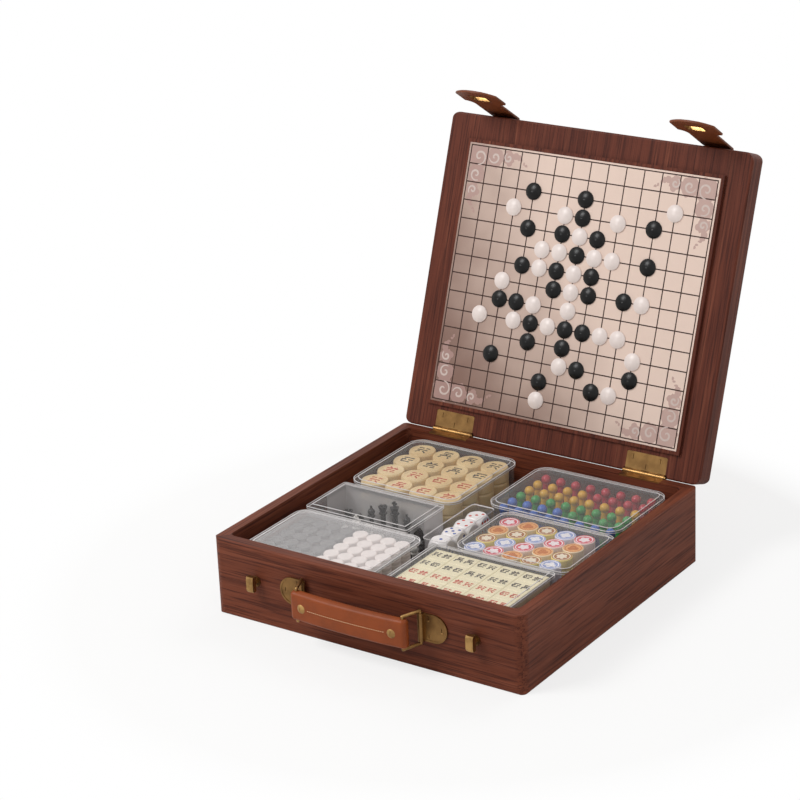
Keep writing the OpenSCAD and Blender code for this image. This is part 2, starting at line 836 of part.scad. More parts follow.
// Eight files and nine ranks, with a river across the middle
module outer_board() {
    half = (ranks - 1) / 2;
    color(paper) on_lid() translate([0, 0, lid_top - recess_d]) difference() {
        translate([0, 0, -print_t]) linear_extrude(print_t)
            square([outer_w, outer_d], center = true);
        for (s = [-1, 1]) translate([0, s * (half + 1) * rank_w / 2, 0])
            score(files, half, file_w, rank_w, line_w);
        for (s = [-1, 1]) translate([s * files * file_w / 2, 0, 0])
            cube([line_w, rank_w + 1, 2 * line_d], center = true);
        palace = sqrt(pow(2 * file_w, 2) + pow(2 * rank_w, 2));
        for (s = [-1, 1], m = [-1, 1])
            translate([0, s * (ranks / 2 - 1) * rank_w, 0])
                rotate([0, 0, m * atan2(rank_w, file_w)])
                    cube([palace, line_w, 2 * line_d], center = true);
    }
}

// A flat-footed stone with a domed top
module stone(dia, h) {
    dome = h - 1;
    r = (dia * dia / 4 + dome * dome) / (2 * dome);
    intersection() {
        cylinder(h = h, r = dia / 2);
        translate([0, 0, h - r]) sphere(r, $fn = 96);
    }
}

module board_stones(colour) {
    on_lid() translate([0, 0, seam_z - board_proud])
        for (row = [0:grid_n], col = [0:grid_n]) if (GAME[row][col] == colour)
            translate([(col - grid_n / 2) * cell_x, (row - grid_n / 2) * cell_y, 0])
                mirror([0, 0, 1]) stone(stone_dia, stone_h);
}

module board_stones_black() {
    color("#1c1a19") board_stones("b");
}

module board_stones_white() {
    color("#f2eeee") board_stones("w");
}

// Cases

// Moves to the centre of a case's footprint on the floor board
module at_case(c) {
    translate([c[0] + c[2] / 2, c[1] + c[3] / 2, floor_t]) children();
}

// A case's outline drawn in by some inset, its corners kept round
module case_outline(c, inset = 0) {
    round_rect(c[2] - 2 * inset, c[3] - 2 * inset, max(c[4] - inset, 0.4));
}

module tray(c) {
    color(clear) at_case(c) difference() {
        union() {
            linear_extrude(tray_h) case_outline(c, case_rim);
            translate([0, 0, tray_h - lid_edge]) linear_extrude(lid_edge) case_outline(c);
        }
        translate([0, 0, case_wall]) linear_extrude(case_h) case_outline(c, tray_in);
    }
}

// A lid with an edge, a raised middle and a thin skirt that plugs the tray
module tray_lid(c) {
    skirt = tray_in + plug_gap;
    color(clear) at_case(c) translate([0, 0, tray_h]) difference() {
        union() {
            linear_extrude(lid_edge) case_outline(c);
            linear_extrude(lid_edge + lid_rise) case_outline(c, lid_inset);
            translate([0, 0, -plug_d]) linear_extrude(plug_d + e) case_outline(c, skirt);
        }
        translate([0, 0, -plug_d - e]) linear_extrude(plug_d + e)
            case_outline(c, skirt + case_wall);
        translate([0, 0, -e]) linear_extrude(lid_edge + lid_rise - case_wall + e)
            case_outline(c, lid_inset + case_wall);
    }
}

module disc_tray() tray(disc_case);
module chess_tray() tray(chess_case);
module stone_tray() tray(stone_case);
module tile_tray() tray(tile_case);
module token_tray() tray(token_case);
module peg_tray() tray(peg_case);
module dice_tray() tray(dice_case);
module disc_tray_lid() tray_lid(disc_case);
module chess_tray_lid() tray_lid(chess_case);
module stone_tray_lid() tray_lid(stone_case);
module tile_tray_lid() tray_lid(tile_case);
module token_tray_lid() tray_lid(token_case);
module peg_tray_lid() tray_lid(peg_case);

// Playing pieces

// Stands copies in n columns and rows in a case
module in_case(c, n, px, py, shift = 0) {
    at_case(c) translate([shift, 0, case_wall])
        for (i = [0:n[0] - 1], j = [0:n[1] - 1])
            translate([(i - (n[0] - 1) / 2) * px, (j - (n[1] - 1) / 2) * py, 0]) {
                $col = i;
                $row = j;
                children();
            }
}

module stack(n, h) {
    for (k = [0:n - 1]) translate([0, 0, k * (h + piece_gap)]) children();
}

// A round man with barrel sides and a turned ring on its face
module round_man() {
    difference() {
        intersection() {
            cylinder(h = disc_t, r = disc_dia / 2);
            translate([0, 0, disc_t / 2]) sphere(0.54 * disc_dia, $fn = 96);
        }
        translate([0, 0, disc_t - 0.3]) difference() {
            cylinder(h = 1, r = 0.38 * disc_dia);
            translate([0, 0, -e]) cylinder(h = 1 + 2 * e, r = 0.352 * disc_dia);
        }
    }
}

module discs_red() {
    color("#e8cfa0") in_case(disc_case, disc_n, disc_p[0], disc_p[1])
        if ($row < disc_n[1] / 2) stack(disc_n[2], disc_t) round_man();
}

module discs_black() {
    color("#e8cfa0") in_case(disc_case, disc_n, disc_p[0], disc_p[1])
        if ($row >= disc_n[1] / 2) stack(disc_n[2], disc_t) round_man();
}

// A pile of flat stones turned as one ribbed column, with a loose one on top
module spare_pile() {
    r = spare_dia / 2;
    in = 0.05 * spare_dia;
    up = 0.2 * spare_t;
    below = spare_n[2] - 1;
    rotate_extrude() polygon(concat([[0, 0]],
        [for (k = [0:below - 1]) each [
            [r - in, k * spare_t], [r, k * spare_t + up],
            [r, (k + 1) * spare_t - up], [r - in, (k + 1) * spare_t]]],
        [[0, below * spare_t]]));
    translate([0, 0, below * spare_t]) rotate_extrude()
        polygon([[0, 0], [r - in, 0], [r, up], [r, spare_t - up],
            [r - in, spare_t], [0, spare_t]]);
}

module spare_stones_black() {
    color("#2a2827") in_case(stone_case, spare_n, spare_p, spare_p)
        if ($col < spare_n[0] / 2) spare_pile();
}

module spare_stones_white() {
    color("#f2eeee") in_case(stone_case, spare_n, spare_p, spare_p)
        if ($col >= spare_n[0] / 2) spare_pile();
}

module tile() {
    translate([0, 0, tile_t / 2]) intersection() {
        cube([tile_w, tile_d, tile_t], center = true);
        rotate([90, 0, 0]) linear_extrude(tile_d + 1, center = true)
            round_rect(tile_w, tile_t, 1);
        rotate([90, 0, 90]) linear_extrude(tile_w + 1, center = true)
            round_rect(tile_d, tile_t, 1);
    }
}

module tiles_red() {
    color("#f0e4c0") in_case(tile_case, tile_n, tile_p[0], tile_p[1])
        if ($row < tile_n[1] / 2) stack(tile_n[2], tile_t) tile();
}

module tiles_black() {
    color("#f0e4c0") in_case(tile_case, tile_n, tile_p[0], tile_p[1])
        if ($row >= tile_n[1] / 2) stack(tile_n[2], tile_t) tile();
}

// Which of the four colours lies at each place, nearest row first
TOKENS = ["bronb", "nbron", "onbro", "ronbr"];

module token() {
    r = token_dia / 2;
    rotate_extrude() polygon([[0, 0], [r - 0.6, 0], [r, 0.6], [r, token_t - 0.6],
        [r - 0.6, token_t], [r - 1.6, token_t], [r - 1.9, token_t - 0.3],
        [0, token_t - 0.3]]);
}

// The picture discs stand against their case's left side
module tokens(mark) {
    spare_room = token_case[2] - 2 * piece_margin - token_n[0] * token_p;
    in_case(token_case, token_n, token_p, token_p, -spare_room / 2)
        if (TOKENS[$row][$col] == mark) stack(token_n[2], token_t) token();
}

module tokens_red() {
    color("#d8485c") tokens("r");
}

module tokens_orange() {
    color("#e0a060") tokens("o");
}

module tokens_brown() {
    color("#a87838") tokens("n");
}

module tokens_blue() {
    color("#8c9cc8") tokens("b");
}

PEGS = ["bbbbbbbb", "bbbbgggg", "gggggggg", "yyyyyyyy", "yyyyrrrr", "rrrrrrrr"];

// A hollow-footed peg with a ball head. The upper one sits over the lower's.
module peg() {
    r = peg_dia / 2;
    head = peg_head / 2;
    neck_z = peg_h - 1.7 * head;
    difference() {
        union() {
            rotate_extrude() polygon([[0, 0], [r, 0], [r, 1.6], [0.82 * r, 3.4],
                [0.64 * r, 8], [0.52 * r, neck_z - 4], [0.48 * r, neck_z], [0, neck_z]]);
            translate([0, 0, peg_h - head]) sphere(head);
        }
        translate([0, 0, -e]) cylinder(h = peg_nest + e, r1 = 0.82 * r, r2 = head + 0.25);
    }
}

module pegs(mark) {
    in_case(peg_case, peg_n, peg_p[0], peg_p[1])
        if (PEGS[$row][$col] == mark) stack(peg_n[2], peg_h - peg_nest) peg();
}

module pegs_red() {
    color("#b83040") pegs("r");
}

module pegs_yellow() {
    color("#d8a830") pegs("y");
}

module pegs_green() {
    color("#2f9040") pegs("g");
}

module pegs_blue() {
    color("#3a68b8") pegs("b");
}

// The turned stem that every chess man stands on, up to its collar
module stem(h, neck) {
    r = man_dia / 2;
    rotate_extrude() polygon(concat(
        [[0, 0], [r, 0], [r, 1.8], [r - 0.8, 2.4], [r - 0.8, 3.4], [r - 1.6, 4.4]],
        [for (t = [0.15:0.17:1]) [neck + (r - 2 - neck) * pow(1 - t, 2.4), 4.4 + (h - 6.4) * t]],
        [[neck, h - 2], [neck + 1.6, h - 1.4], [neck + 1.6, h - 0.6], [neck + 0.6, h], [0, h]]));
}

module chess_pawn() {
    stem(0.46 * king_h, 2);
    translate([0, 0, 0.46 * king_h + 2.4]) sphere(3.4, $fn = 32);
}

module rook() {
    h = 0.52 * king_h;
    stem(h, 2.6);
    translate([0, 0, h - e]) difference() {
        cylinder(h = 6.5, r1 = 3.2, r2 = 4.4);
        translate([0, 0, 4.5]) cylinder(h = 3, r = 2.7);
        for (a = [0, 60, 120]) rotate([0, 0, a]) translate([0, 0, 6]) cube([12, 1.3, 2.4], center = true);
    }
}

module knight() {
    h = 0.4 * king_h;
    stem(h, 3);
    translate([0, 1.8, h - e]) rotate([90, 0, 0]) linear_extrude(3.6)
        polygon([[-3.4, 0], [3.2, 0], [3.8, 5], [2.6, 9.5], [-0.4, 12.6], [-1.4, 11],
            [-5.2, 7.6], [-4.6, 5.6], [-1.6, 6.2], [-3, 3.4]]);
}

module bishop() {
    h = 0.66 * king_h;
    stem(h, 2.2);
    translate([0, 0, h + 3]) difference() {
        union() {
            sphere(3.4, $fn = 32);
            cylinder(h = 5.2, r1 = 3, r2 = 0.5);
            translate([0, 0, 5.4]) sphere(1, $fn = 24);
        }
        translate([2.4, 0, 2.4]) rotate([0, 35, 0]) cube([4, 8, 0.8], center = true);
    }
}

module queen() {
    h = 0.76 * king_h;
    stem(h, 2.4);
    translate([0, 0, h - e]) difference() {
        cylinder(h = 6, r1 = 2.6, r2 = 4.4);
        translate([0, 0, 4.6]) cylinder(h = 3, r1 = 2.4, r2 = 4);
        for (a = [0:60:300]) rotate([0, 0, a]) translate([4.3, 0, 6.2]) sphere(1.1, $fn = 16);
    }
    translate([0, 0, h + 5.4]) sphere(1.7, $fn = 24);
}

module king() {
    h = 0.8 * king_h;
    stem(h, 2.6);
    translate([0, 0, h - e]) cylinder(h = 5.4, r1 = 2.6, r2 = 4.2);
    translate([0, 0, h + 5.3]) cylinder(h = 1.2, r1 = 4, r2 = 1.4);
    translate([0, 0, h + 8.4]) cube([1.8, 1.6, 5.6], center = true);
    translate([0, 0, h + 9]) cube([4.6, 1.6, 1.6], center = true);
}

// The back rank of a side, in order from the left
module officer(i) {
    if (i == 0 || i == 7) rook();
    if (i == 1 || i == 6) knight();
    if (i == 2 || i == 5) bishop();
    if (i == 3) queen();
    if (i == 4) king();
}

module chess_men_black() {
    color("#3a3836") in_case(chess_case, man_n, man_p[0], man_p[1]) {
        if ($row == 3) officer($col);
        if ($row == 2) chess_pawn();
    }
}

module chess_men_white() {
    color("#e9e6e1") in_case(chess_case, man_n, man_p[0], man_p[1]) {
        if ($row == 0) officer(7 - $col);
        if ($row == 1) chess_pawn();
    }
}

// Where the pips of one face lie, in units of the pip spacing
PIPS = [
    [[0, 0]],
    [[-1, -1], [1, 1]],
    [[-1, -1], [0, 0], [1, 1]],
    [[-1, -1], [-1, 1], [1, -1], [1, 1]],
    [[-1, -1], [-1, 1], [0, 0], [1, -1], [1, 1]],
    [[-1, -1], [-1, 0], [-1, 1], [1, -1], [1, 0], [1, 1]]];
pip_step = 4.2;

// The turn that brings each face to the top; opposite faces add up to seven
FACES = [[0, 0, 0], [90, 0, 0], [0, 90, 0], [0, -90, 0], [-90, 0, 0], [180, 0, 0]];

module one_die() {
    difference() {
        intersection() {
            cube(die, center = true);
            sphere(die * 0.69, $fn = 96);
        }
        for (f = [0:5]) rotate(FACES[f]) for (p = PIPS[f])
            translate([p[0] * pip_step, p[1] * pip_step, die / 2 + 1.1]) sphere(1.9, $fn = 24);
    }
}

module dice() {
    color("#f4f0f0") in_case(dice_case, die_n, 0, die_p)
        stack(die_n[2], die) translate([0, 0, die / 2]) rotate(FACES[$row]) one_die();
}

base_frame();
base_floor();
hinge_base_leaves();
hinge_lid_leaves();
hinge_pins();
hinge_base_screws();
hinge_lid_screws();
handle_plates();
handle_screws();
handle_loop_left();
handle_loop_right();
handle_grip();
grip_studs();
button_left();
button_right();
button_bushes();
lid_frame();
lid_panel();
steel_sheet();
inner_board();
outer_board();
strap_roots();
strap_flap_left();
strap_flap_right();
strap_rivets();
eyelet_left();
eyelet_right();
board_stones_black();
board_stones_white();
disc_tray();
chess_tray();
stone_tray();
tile_tray();
token_tray();
peg_tray();
dice_tray();
disc_tray_lid();
chess_tray_lid();
stone_tray_lid();
tile_tray_lid();
token_tray_lid();
peg_tray_lid();
discs_red();
discs_black();
chess_men_black();
chess_men_white();
spare_stones_black();
spare_stones_white();
tiles_red();
tiles_black();
tokens_red();
tokens_orange();
tokens_brown();
tokens_blue();
pegs_red();
pegs_yellow();
pegs_green();
pegs_blue();
dice();
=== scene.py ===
"""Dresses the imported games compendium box: stained wood, aged brass, leather, printed boards,
clear cases and their playing pieces, on a plain pale floor."""

import json
import math
import random
from functools import partial

import bmesh
import bpy
from mathutils import Matrix, Vector


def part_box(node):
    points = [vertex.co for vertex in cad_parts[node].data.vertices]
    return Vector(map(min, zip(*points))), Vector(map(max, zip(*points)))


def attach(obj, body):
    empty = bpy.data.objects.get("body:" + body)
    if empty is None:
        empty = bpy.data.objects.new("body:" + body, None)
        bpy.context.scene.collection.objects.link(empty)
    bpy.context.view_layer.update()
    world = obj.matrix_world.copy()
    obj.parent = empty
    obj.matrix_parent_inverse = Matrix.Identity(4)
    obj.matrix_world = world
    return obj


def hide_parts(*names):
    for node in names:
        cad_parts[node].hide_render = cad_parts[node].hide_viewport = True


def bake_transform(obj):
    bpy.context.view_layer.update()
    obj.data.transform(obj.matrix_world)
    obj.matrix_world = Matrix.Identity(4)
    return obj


bl_info = {
    "name": "Games Compendium Box",
    "version": (1, 0, 0),
    "blender": (4, 5, 0),
    "location": "View3D > Sidebar > Games Box",
    "description": "Finishes and small pieces for a wooden games box",
    "category": "Add Mesh",
}

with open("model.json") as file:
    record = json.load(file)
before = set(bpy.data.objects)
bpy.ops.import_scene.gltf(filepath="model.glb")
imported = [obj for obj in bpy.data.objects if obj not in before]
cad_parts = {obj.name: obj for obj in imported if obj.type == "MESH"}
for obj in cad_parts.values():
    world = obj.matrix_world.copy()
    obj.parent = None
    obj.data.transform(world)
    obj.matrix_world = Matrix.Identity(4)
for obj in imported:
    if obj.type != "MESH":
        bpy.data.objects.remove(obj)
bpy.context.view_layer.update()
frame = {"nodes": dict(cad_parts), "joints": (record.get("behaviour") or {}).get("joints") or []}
NODES = frame["nodes"]
JOINTS = {joint["name"]: joint for joint in frame["joints"]}
MM = 0.001

# The lid's pieces are drawn on the shut lid, and this turns them to where it stands.
HINGE = Vector(JOINTS["lid_hinge"]["pos_m"])
LID_OPEN = math.radians(-JOINTS["lid_hinge"]["range_deg"][0])
SHUT_TO_REST = (
    Matrix.Translation(HINGE) @ Matrix.Rotation(-LID_OPEN, 4, "X") @ Matrix.Translation(-HINGE)
)
REST_TO_SHUT = SHUT_TO_REST.inverted()

# The clear cases: name, radius of the corners in millimetres, and how much the lid veils
CASES = (
    ("disc", 14, 0.05), ("chess", 3, 0.05), ("stone", 12, 0.22), ("tile", 5, 0.05),
    ("token", 12, 0.06), ("peg", 14, 0.07), ("dice", 4, 0.05),
)
# Lobes of a corner cloud along one edge, and its tail, as (along, across, radius) in cells from
# the grid's corner. The cloud is the same along the other edge.
CLOUD_LOBES = ((0.55, 0.55, 0.62), (1.45, 0.48, 0.5), (2.25, 0.42, 0.38))
CLOUD_TAIL = tuple(
    (2.4 + 1.1 * t, 0.3 + 0.5 * t * t, 0.26 * (1 - t)) for t in (0.2, 0.4, 0.55, 0.7, 0.85)
)
# Bars, broken bars and slanted strokes of invented marks, in a square from -1 to 1
MARKS = (
    (((-0.7, 0.6), (0.7, 0.66)), ((-0.8, 0.05), (-0.15, 0.05)), ((0.15, 0.05), (0.8, 0.1)),
     ((-0.6, -0.55), (0.6, -0.5)), ((-0.3, 0.3), (-0.7, -0.3))),
    (((-0.75, 0.55), (-0.1, 0.6)), ((0.2, 0.6), (0.75, 0.55)), ((-0.7, 0.0), (0.7, 0.04)),
     ((-0.2, -0.3), (-0.65, -0.75)), ((0.2, -0.3), (0.7, -0.7))),
    (((-0.6, 0.7), (0.55, 0.75)), ((-0.55, 0.25), (0.5, 0.3)), ((-0.8, -0.2), (0.8, -0.15)),
     ((-0.5, -0.45), (-0.7, -0.8)), ((0.45, -0.45), (0.7, -0.8)), ((0.0, 0.2), (0.0, -0.1))),
    (((-0.8, 0.3), (0.8, 0.36)), ((-0.5, 0.75), (-0.2, 0.5)), ((0.5, 0.75), (0.2, 0.5)),
     ((-0.6, -0.15), (0.6, -0.1)), ((-0.75, -0.6), (-0.1, -0.6)), ((0.2, -0.6), (0.8, -0.55))),
)
# The printed discs: node, face, side, motif and number of petals
TOKENS = (
    ("tokens_red", "#d6455a", "#efd9d2", "#fbeef0", 5),
    ("tokens_orange", "#e3a25e", "#f0d9b4", "#c9722c", 3),
    ("tokens_brown", "#a5662f", "#ecd67c", "#f2e6cf", 6),
    ("tokens_blue", "#8e9fd0", "#dcdcea", "#f6f3f6", 4),
)
PEGS = (("red", "#b92f40"), ("yellow", "#dba52c"), ("green", "#2f9444"), ("blue", "#3b68bb"))
# The lamps: name, place, size in metres and power in watts
LAMPS = (
    ("key", (-1.3, -1.6, 2.4), 1.1, 52),
    ("fill", (1.8, -1.9, 1.4), 2.0, 4),
    ("back", (0.4, 1.9, 1.9), 1.6, 16),
)


def linear(code):
    """An sRGB hex colour as linear RGBA."""
    parts = [int(code[i : i + 2], 16) / 255 for i in (1, 3, 5)]
    return [c / 12.92 if c <= 0.04045 else ((c + 0.055) / 1.055) ** 2.4 for c in parts] + [1.0]


def colour(name, description, code):
    """A colour setting, from its sRGB hex value."""
    return bpy.props.FloatVectorProperty(
        name=name, description=description, subtype="COLOR", size=4, min=0, max=1,
        default=linear(code),
    )


def number(name, description, value, **kind):
    """A setting that is a number."""
    return bpy.props.FloatProperty(name=name, description=description, default=value, **kind)


def length(name, description, millimetres):
    """A length setting, given in millimetres and kept in metres."""
    return number(name, description, millimetres * MM, unit="LENGTH", min=0)


share = partial(number, subtype="FACTOR", min=0, max=1)


class WoodLook(bpy.types.PropertyGroup):
    """Stained wood of the base and the lid"""

    base_stain: colour("Base stain", "Body colour of the base's wood", "#703a27")
    lid_stain: colour("Lid stain", "Body colour of the lid's wood", "#643224")
    dark: colour("Dark grain", "Colour of the grain's dark streaks", "#331510")
    pale: colour("Pale grain", "Colour of the grain's pale streaks", "#8a4f3a")
    streak: length("Streak width", "Width of one broad streak across the grain", 5)
    pore: length("Pore width", "Width of a pore line across the grain", 1.5)
    patch: length("Patch width", "Width of a darker patch across the grain", 50)


class PrintLook(bpy.types.PropertyGroup):
    """The two printed boards"""

    paper: colour("Paper", "Ground colour of the inner board", "#e2cabc")
    # Painted shade: this darker colour is laid on towards one corner of each board, where shade
    # falls, and it also follows the paper's random mottling.
    shade: colour("Shade", "Darker tone at the inner board's near left corner", "#82655a")
    ink: colour("Ink", "Colour of the boards' lines", "#38201a")
    line: length("Line", "Width of the inner board's lines", 1.15)
    motif: colour("Motif", "Tint of the corner clouds", "#b08f88")
    motif_line: colour("Motif line", "Pale lines inside the corner clouds", "#e8d5cc")
    outer_paper: colour("Outer paper", "Ground colour of the outer board", "#dcbfa8")
    outer_field: colour("Outer field", "Brown ground round the outer sheet", "#8d6250")
    ink_depth: length("Ink depth", "Thickness of printed shapes on the boards", 0.05)


class BrassLook(bpy.types.PropertyGroup):
    """Aged brass of the fittings"""

    metal: colour("Brass", "Colour of the rubbed metal", "#927045")
    patina: colour("Patina", "Colour of the darkened metal", "#6f5233")
    bright: colour("Bright", "Colour of the polished studs, buttons and eyelets", "#b8925c")
    patch: length("Patch", "Size of a darkened patch", 14)


class LeatherLook(bpy.types.PropertyGroup):
    """Leather of the grip and the straps"""

    grip: colour("Grip", "Colour of the grip's leather", "#8b4118")
    strap: colour("Strap", "Colour of the straps' leather", "#70391c")
    burnish: colour("Burnish", "Colour of the darkened edges and creases", "#5a2c17")
    thread: colour("Thread", "Colour of the stitching", "#d9b48a")
    grain: length("Grain", "Size of a cell of the leather's grain", 0.7)
    tan: length("Tan", "Size of a patch of uneven tan", 18)
    stitch: length("Stitch", "Pitch of the stitching", 2.8)
    thread_width: length("Thread width", "Diameter of the thread", 0.6)


class CaseLook(bpy.types.PropertyGroup):
    """Clear plastic of the cases"""

    tint: colour("Tint", "Colour of the plastic's haze", "#f1edec")
    haze: share("Haze", "How much a case's upright walls hide, seen face on", 0.05)
    # Painted reflection: the white cover seen edge on stands in for the glancing reflection of the
    # plastic.
    edge: share("Edge", "How much the plastic hides, seen edge on", 0.3)
    back: share("Back", "How much more the back of the chess men's case hides", 0.3)
    # Painted highlight: the bright line along each rim, its width, and its height below the tops
    # stand in for light catching the rims.
    rim: share("Rim", "How much the bright line along a rim hides", 0.85)
    line: length("Rim line", "Width of the bright line along a rim", 0.6)
    step: length("Step", "From a lid's edge in to its raised middle", 4.5)
    tray_rim: length("Tray rim", "From a tray's top down to its bright line", 1.2)
    lid_rim: length("Lid rim", "From a lid's top down to its bright line", 1.4)


class PieceLook(bpy.types.PropertyGroup):
    """Playing pieces"""

    black_stone: colour("Black stone", "Colour of the black stones", "#0d0c0c")
    white_stone: colour("White stone", "Colour of the white stones", "#eee0da")
    disc: colour("Round man", "Pale lacquered wood of the round men", "#eed7a8")
    disc_dark: colour("Round man grain", "Darker grain of the round men", "#d9b67e")
    tile: colour("Tile", "Colour of the tiles", "#f3e8c6")
    red_mark: colour("Red mark", "Red of the painted marks", "#c4452f")
    black_mark: colour("Black mark", "Black of the painted marks", "#332c27")
    blue_mark: colour("Blue mark", "Blue of the painted marks", "#2f4f9c")
    die: colour("Die", "Colour of the dice", "#f5f0ef")
    chess_black: colour("Black man", "Colour of the black chess men", "#151312")
    chess_white: colour("White man", "Colour of the white chess men", "#ece8e2")
    mark_width: length("Mark width", "Width of a painted stroke", 1.9)
    mark_depth: length("Mark depth", "Thickness of the paint", 0.12)


class StageLook(bpy.types.PropertyGroup):
    """Floor and camera"""

    floor: colour("Floor", "Colour of the floor", "#f4f3f1")
    azimuth: number("Azimuth", "Camera's turn from the front, in degrees", 35.139)
    elevation: number("Elevation", "Camera's height above level, in degrees", 21.768)
    roll: number("Roll", "Camera's tilt, in degrees", -2.531)
    distance: length("Distance", "From the camera to the point it looks at", 2300.2)
    target: bpy.props.FloatVectorProperty(
        name="Target", description="Point that the camera looks at", subtype="XYZ",
        unit="LENGTH", default=(-0.0433, -0.0211, 0.1784),
    )
    lens: number("Lens", "Focal length on a 36 mm sensor, in millimetres", 118.21)


LOOKS = {
    "games_wood": WoodLook, "games_print": PrintLook, "games_brass": BrassLook,
    "games_leather": LeatherLook, "games_case": CaseLook, "games_piece": PieceLook,
    "games_stage": StageLook,
}


# Materials. A finish is a function that adds its patterns and gives its shader's inputs.


def add(tree, kind, *inputs, out=0, **settings):
    """Adds a node and gives one of its outputs, or all of them. A kind in capitals is a Math
    node's operation. Inputs come in order or as one dict, each a value, or a socket to link."""
    if kind.isupper():
        kind, settings = "Math", {"operation": kind}
    node = tree.nodes.new("ShaderNode" + kind)
    for key, value in settings.items():
        setattr(node, key, value)
    named = inputs[0] if inputs and isinstance(inputs[0], dict) else dict(enumerate(inputs))
    for key, value in named.items():
        if isinstance(value, bpy.types.NodeSocket):
            tree.links.new(value, node.inputs[key])
        else:
            node.inputs[key].default_value = value
    return node.outputs if out is None else node.outputs[out]


def material(name, finish, *details):
    """A material of some finish. Among the shader's inputs, Relief is a height from 0 to 1, its
    depth in metres and its strength, and a roughness may be a pattern, its share and the least
    roughness."""
    made = bpy.data.materials.new(name)
    made.use_nodes = True
    made.node_tree.nodes.clear()
    node = partial(add, made.node_tree)
    surface = finish(node, *details)
    if isinstance(surface, dict):
        if isinstance(surface["Roughness"], tuple):
            surface["Roughness"] = node("MULTIPLY_ADD", *surface["Roughness"])
        if "Relief" in surface:
            height, depth, strength = surface.pop("Relief")
            surface["Normal"] = node(
                "Bump", {"Height": height, "Strength": strength, "Distance": depth}
            )
        surface = node("BsdfPrincipled", surface)
    node("OutputMaterial", surface, out=None)
    return made


def mottling(node, size, detail=3.0, rough=0.5, stretch=(1, 1, 1), place=None):
    """Noise from 0 to 1 whose blotches measure size metres times the stretch."""
    if place is None:
        place = node("TexCoord", out="Object")
    scale = [1 / (size * s) for s in stretch]
    place = node("Mapping", {"Vector": place, "Scale": scale})
    return node(
        "TexNoise", {"Vector": place, "Scale": 1.0, "Detail": detail, "Roughness": rough}
    )


def coat(node, ground, over, value, low=None, high=1.0, cover=1.0):
    """The ground colour, and another over it where a value is high, or goes from low to high."""
    if low is not None:
        value = node("MapRange", value, low, high, interpolation_type="SMOOTHSTEP")
    if cover != 1:
        value = node("MULTIPLY", value, cover)
    return node("Mix", {0: value, 6: ground, 7: over}, out=2, data_type="RGBA")


def darker(tint, part):
    """A darker tone of a colour."""
    return tuple(c * part for c in tint[:3]) + (1.0,)


def wall_grain(node):
    """Grain that runs along each of the base's walls and meets in a mitre at the corners."""
    x, y, z = node("SeparateXYZ", node("TexCoord", out="Object"), out=None)
    _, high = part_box("base_frame")
    edges = [node("SUBTRACT", c, node("ABSOLUTE", a)) for a, c in ((x, high.x), (y, high.y))]
    on_side = node("LESS_THAN", *edges)
    along, across = (
        node("Mix", {0: on_side, 2: a, 3: b}, data_type="FLOAT") for a, b in ((x, y), (y, x))
    )
    return node("CombineXYZ", along, across, z)


def board_grain(node):
    """Grain that runs from side to side."""
    return node("TexCoord", out="Object")


def lid_place(node, location=(0, 0, 0)):
    """Place on the lid, turned to how it lies when shut."""
    place = node("TexCoord", out="Object")
    return node(
        "Mapping", {"Vector": place, "Location": location, "Rotation": (LID_OPEN, 0, 0)}
    )


def lid_grain(node):
    """Grain that runs from the lid's hinges to its free edge."""
    x, y, z = node("SeparateXYZ", lid_place(node), out=None)
    return node("CombineXYZ", y, x, z)


def stained_wood(node, stain, look, grain):
    """Open-pored hardwood, planed, stained dark and satin-lacquered: long dark streaks, fine
    pore lines along the grain and a soft gloss."""
    place = grain(node)
    broad = mottling(node, look.streak, 4, 0.6, (26, 1, 1), place)
    fine = mottling(node, look.pore, 3, 0.65, (40, 1, 1), place)
    patch = mottling(node, look.patch, 2, 0.5, (4, 1, 1), place)
    tone = coat(node, stain, look.dark, broad, 0.5, 0.22, 0.75)
    tone = coat(node, tone, look.pale, broad, 0.5, 0.78, 0.7)
    tone = coat(node, tone, look.dark, fine, 0.45, 0.68, 0.75)
    tone = coat(node, tone, look.dark, patch, 0.42, 0.7, 0.3)
    return {
        "Base Color": tone, "Roughness": (fine, 0.16, 0.42),
        "Specular IOR Level": 0.14, "Relief": (fine, 0.15 * MM, 0.4),
    }


def aged_brass(node, metal, look):
    """Cast and stamped brass, tumbled and aged: rubbed bright, with brown patches and fine
    scratches that soften its reflections."""
    stains = mottling(node, look.patch, 5, 0.55)
    patches = node("MapRange", stains, 0.3, 0.75, interpolation_type="SMOOTHSTEP")
    return {
        "Base Color": coat(node, metal, look.patina, patches), "Metallic": 1.0,
        "Roughness": (patches, 0.12, 0.32),
        "Relief": (mottling(node, 0.4 * MM, 2), 0.03 * MM, 0.25),
    }


def tanned_leather(node, hide, look):
    """Vegetable-tanned cowhide, waxed and pressed: fine pebbled grain, uneven tan and a low
    sheen."""
    grain = {"Vector": node("TexCoord", out="Object"), "Scale": 1 / look.grain}
    tan = mottling(node, look.tan, 4, 0.6)
    uneven = coat(node, hide, look.burnish, tan, 0.35, 0.75)
    return {
        "Base Color": coat(node, hide, uneven, 0.35),
        "Roughness": (tan, 0.16, 0.36), "Specular IOR Level": 0.25,
        "Relief": (node("TexVoronoi", grain, feature="SMOOTH_F1"), 0.12 * MM, 0.3),
    }


def waxed_thread(node, look):
    """Waxed linen thread: pale, twisted and a little glossy."""
    twist = mottling(node, 0.3 * MM, 2)
    return {"Base Color": look.thread, "Roughness": 0.6, "Relief": (twist, 0.1 * MM, 0.5)}


def from_middle(node, x, y, centre):
    """How far a place lies from the middle along each axis."""
    return [node("ABSOLUTE", node("SUBTRACT", a, b)) for a, b in ((x, centre.x), (y, centre.y))]


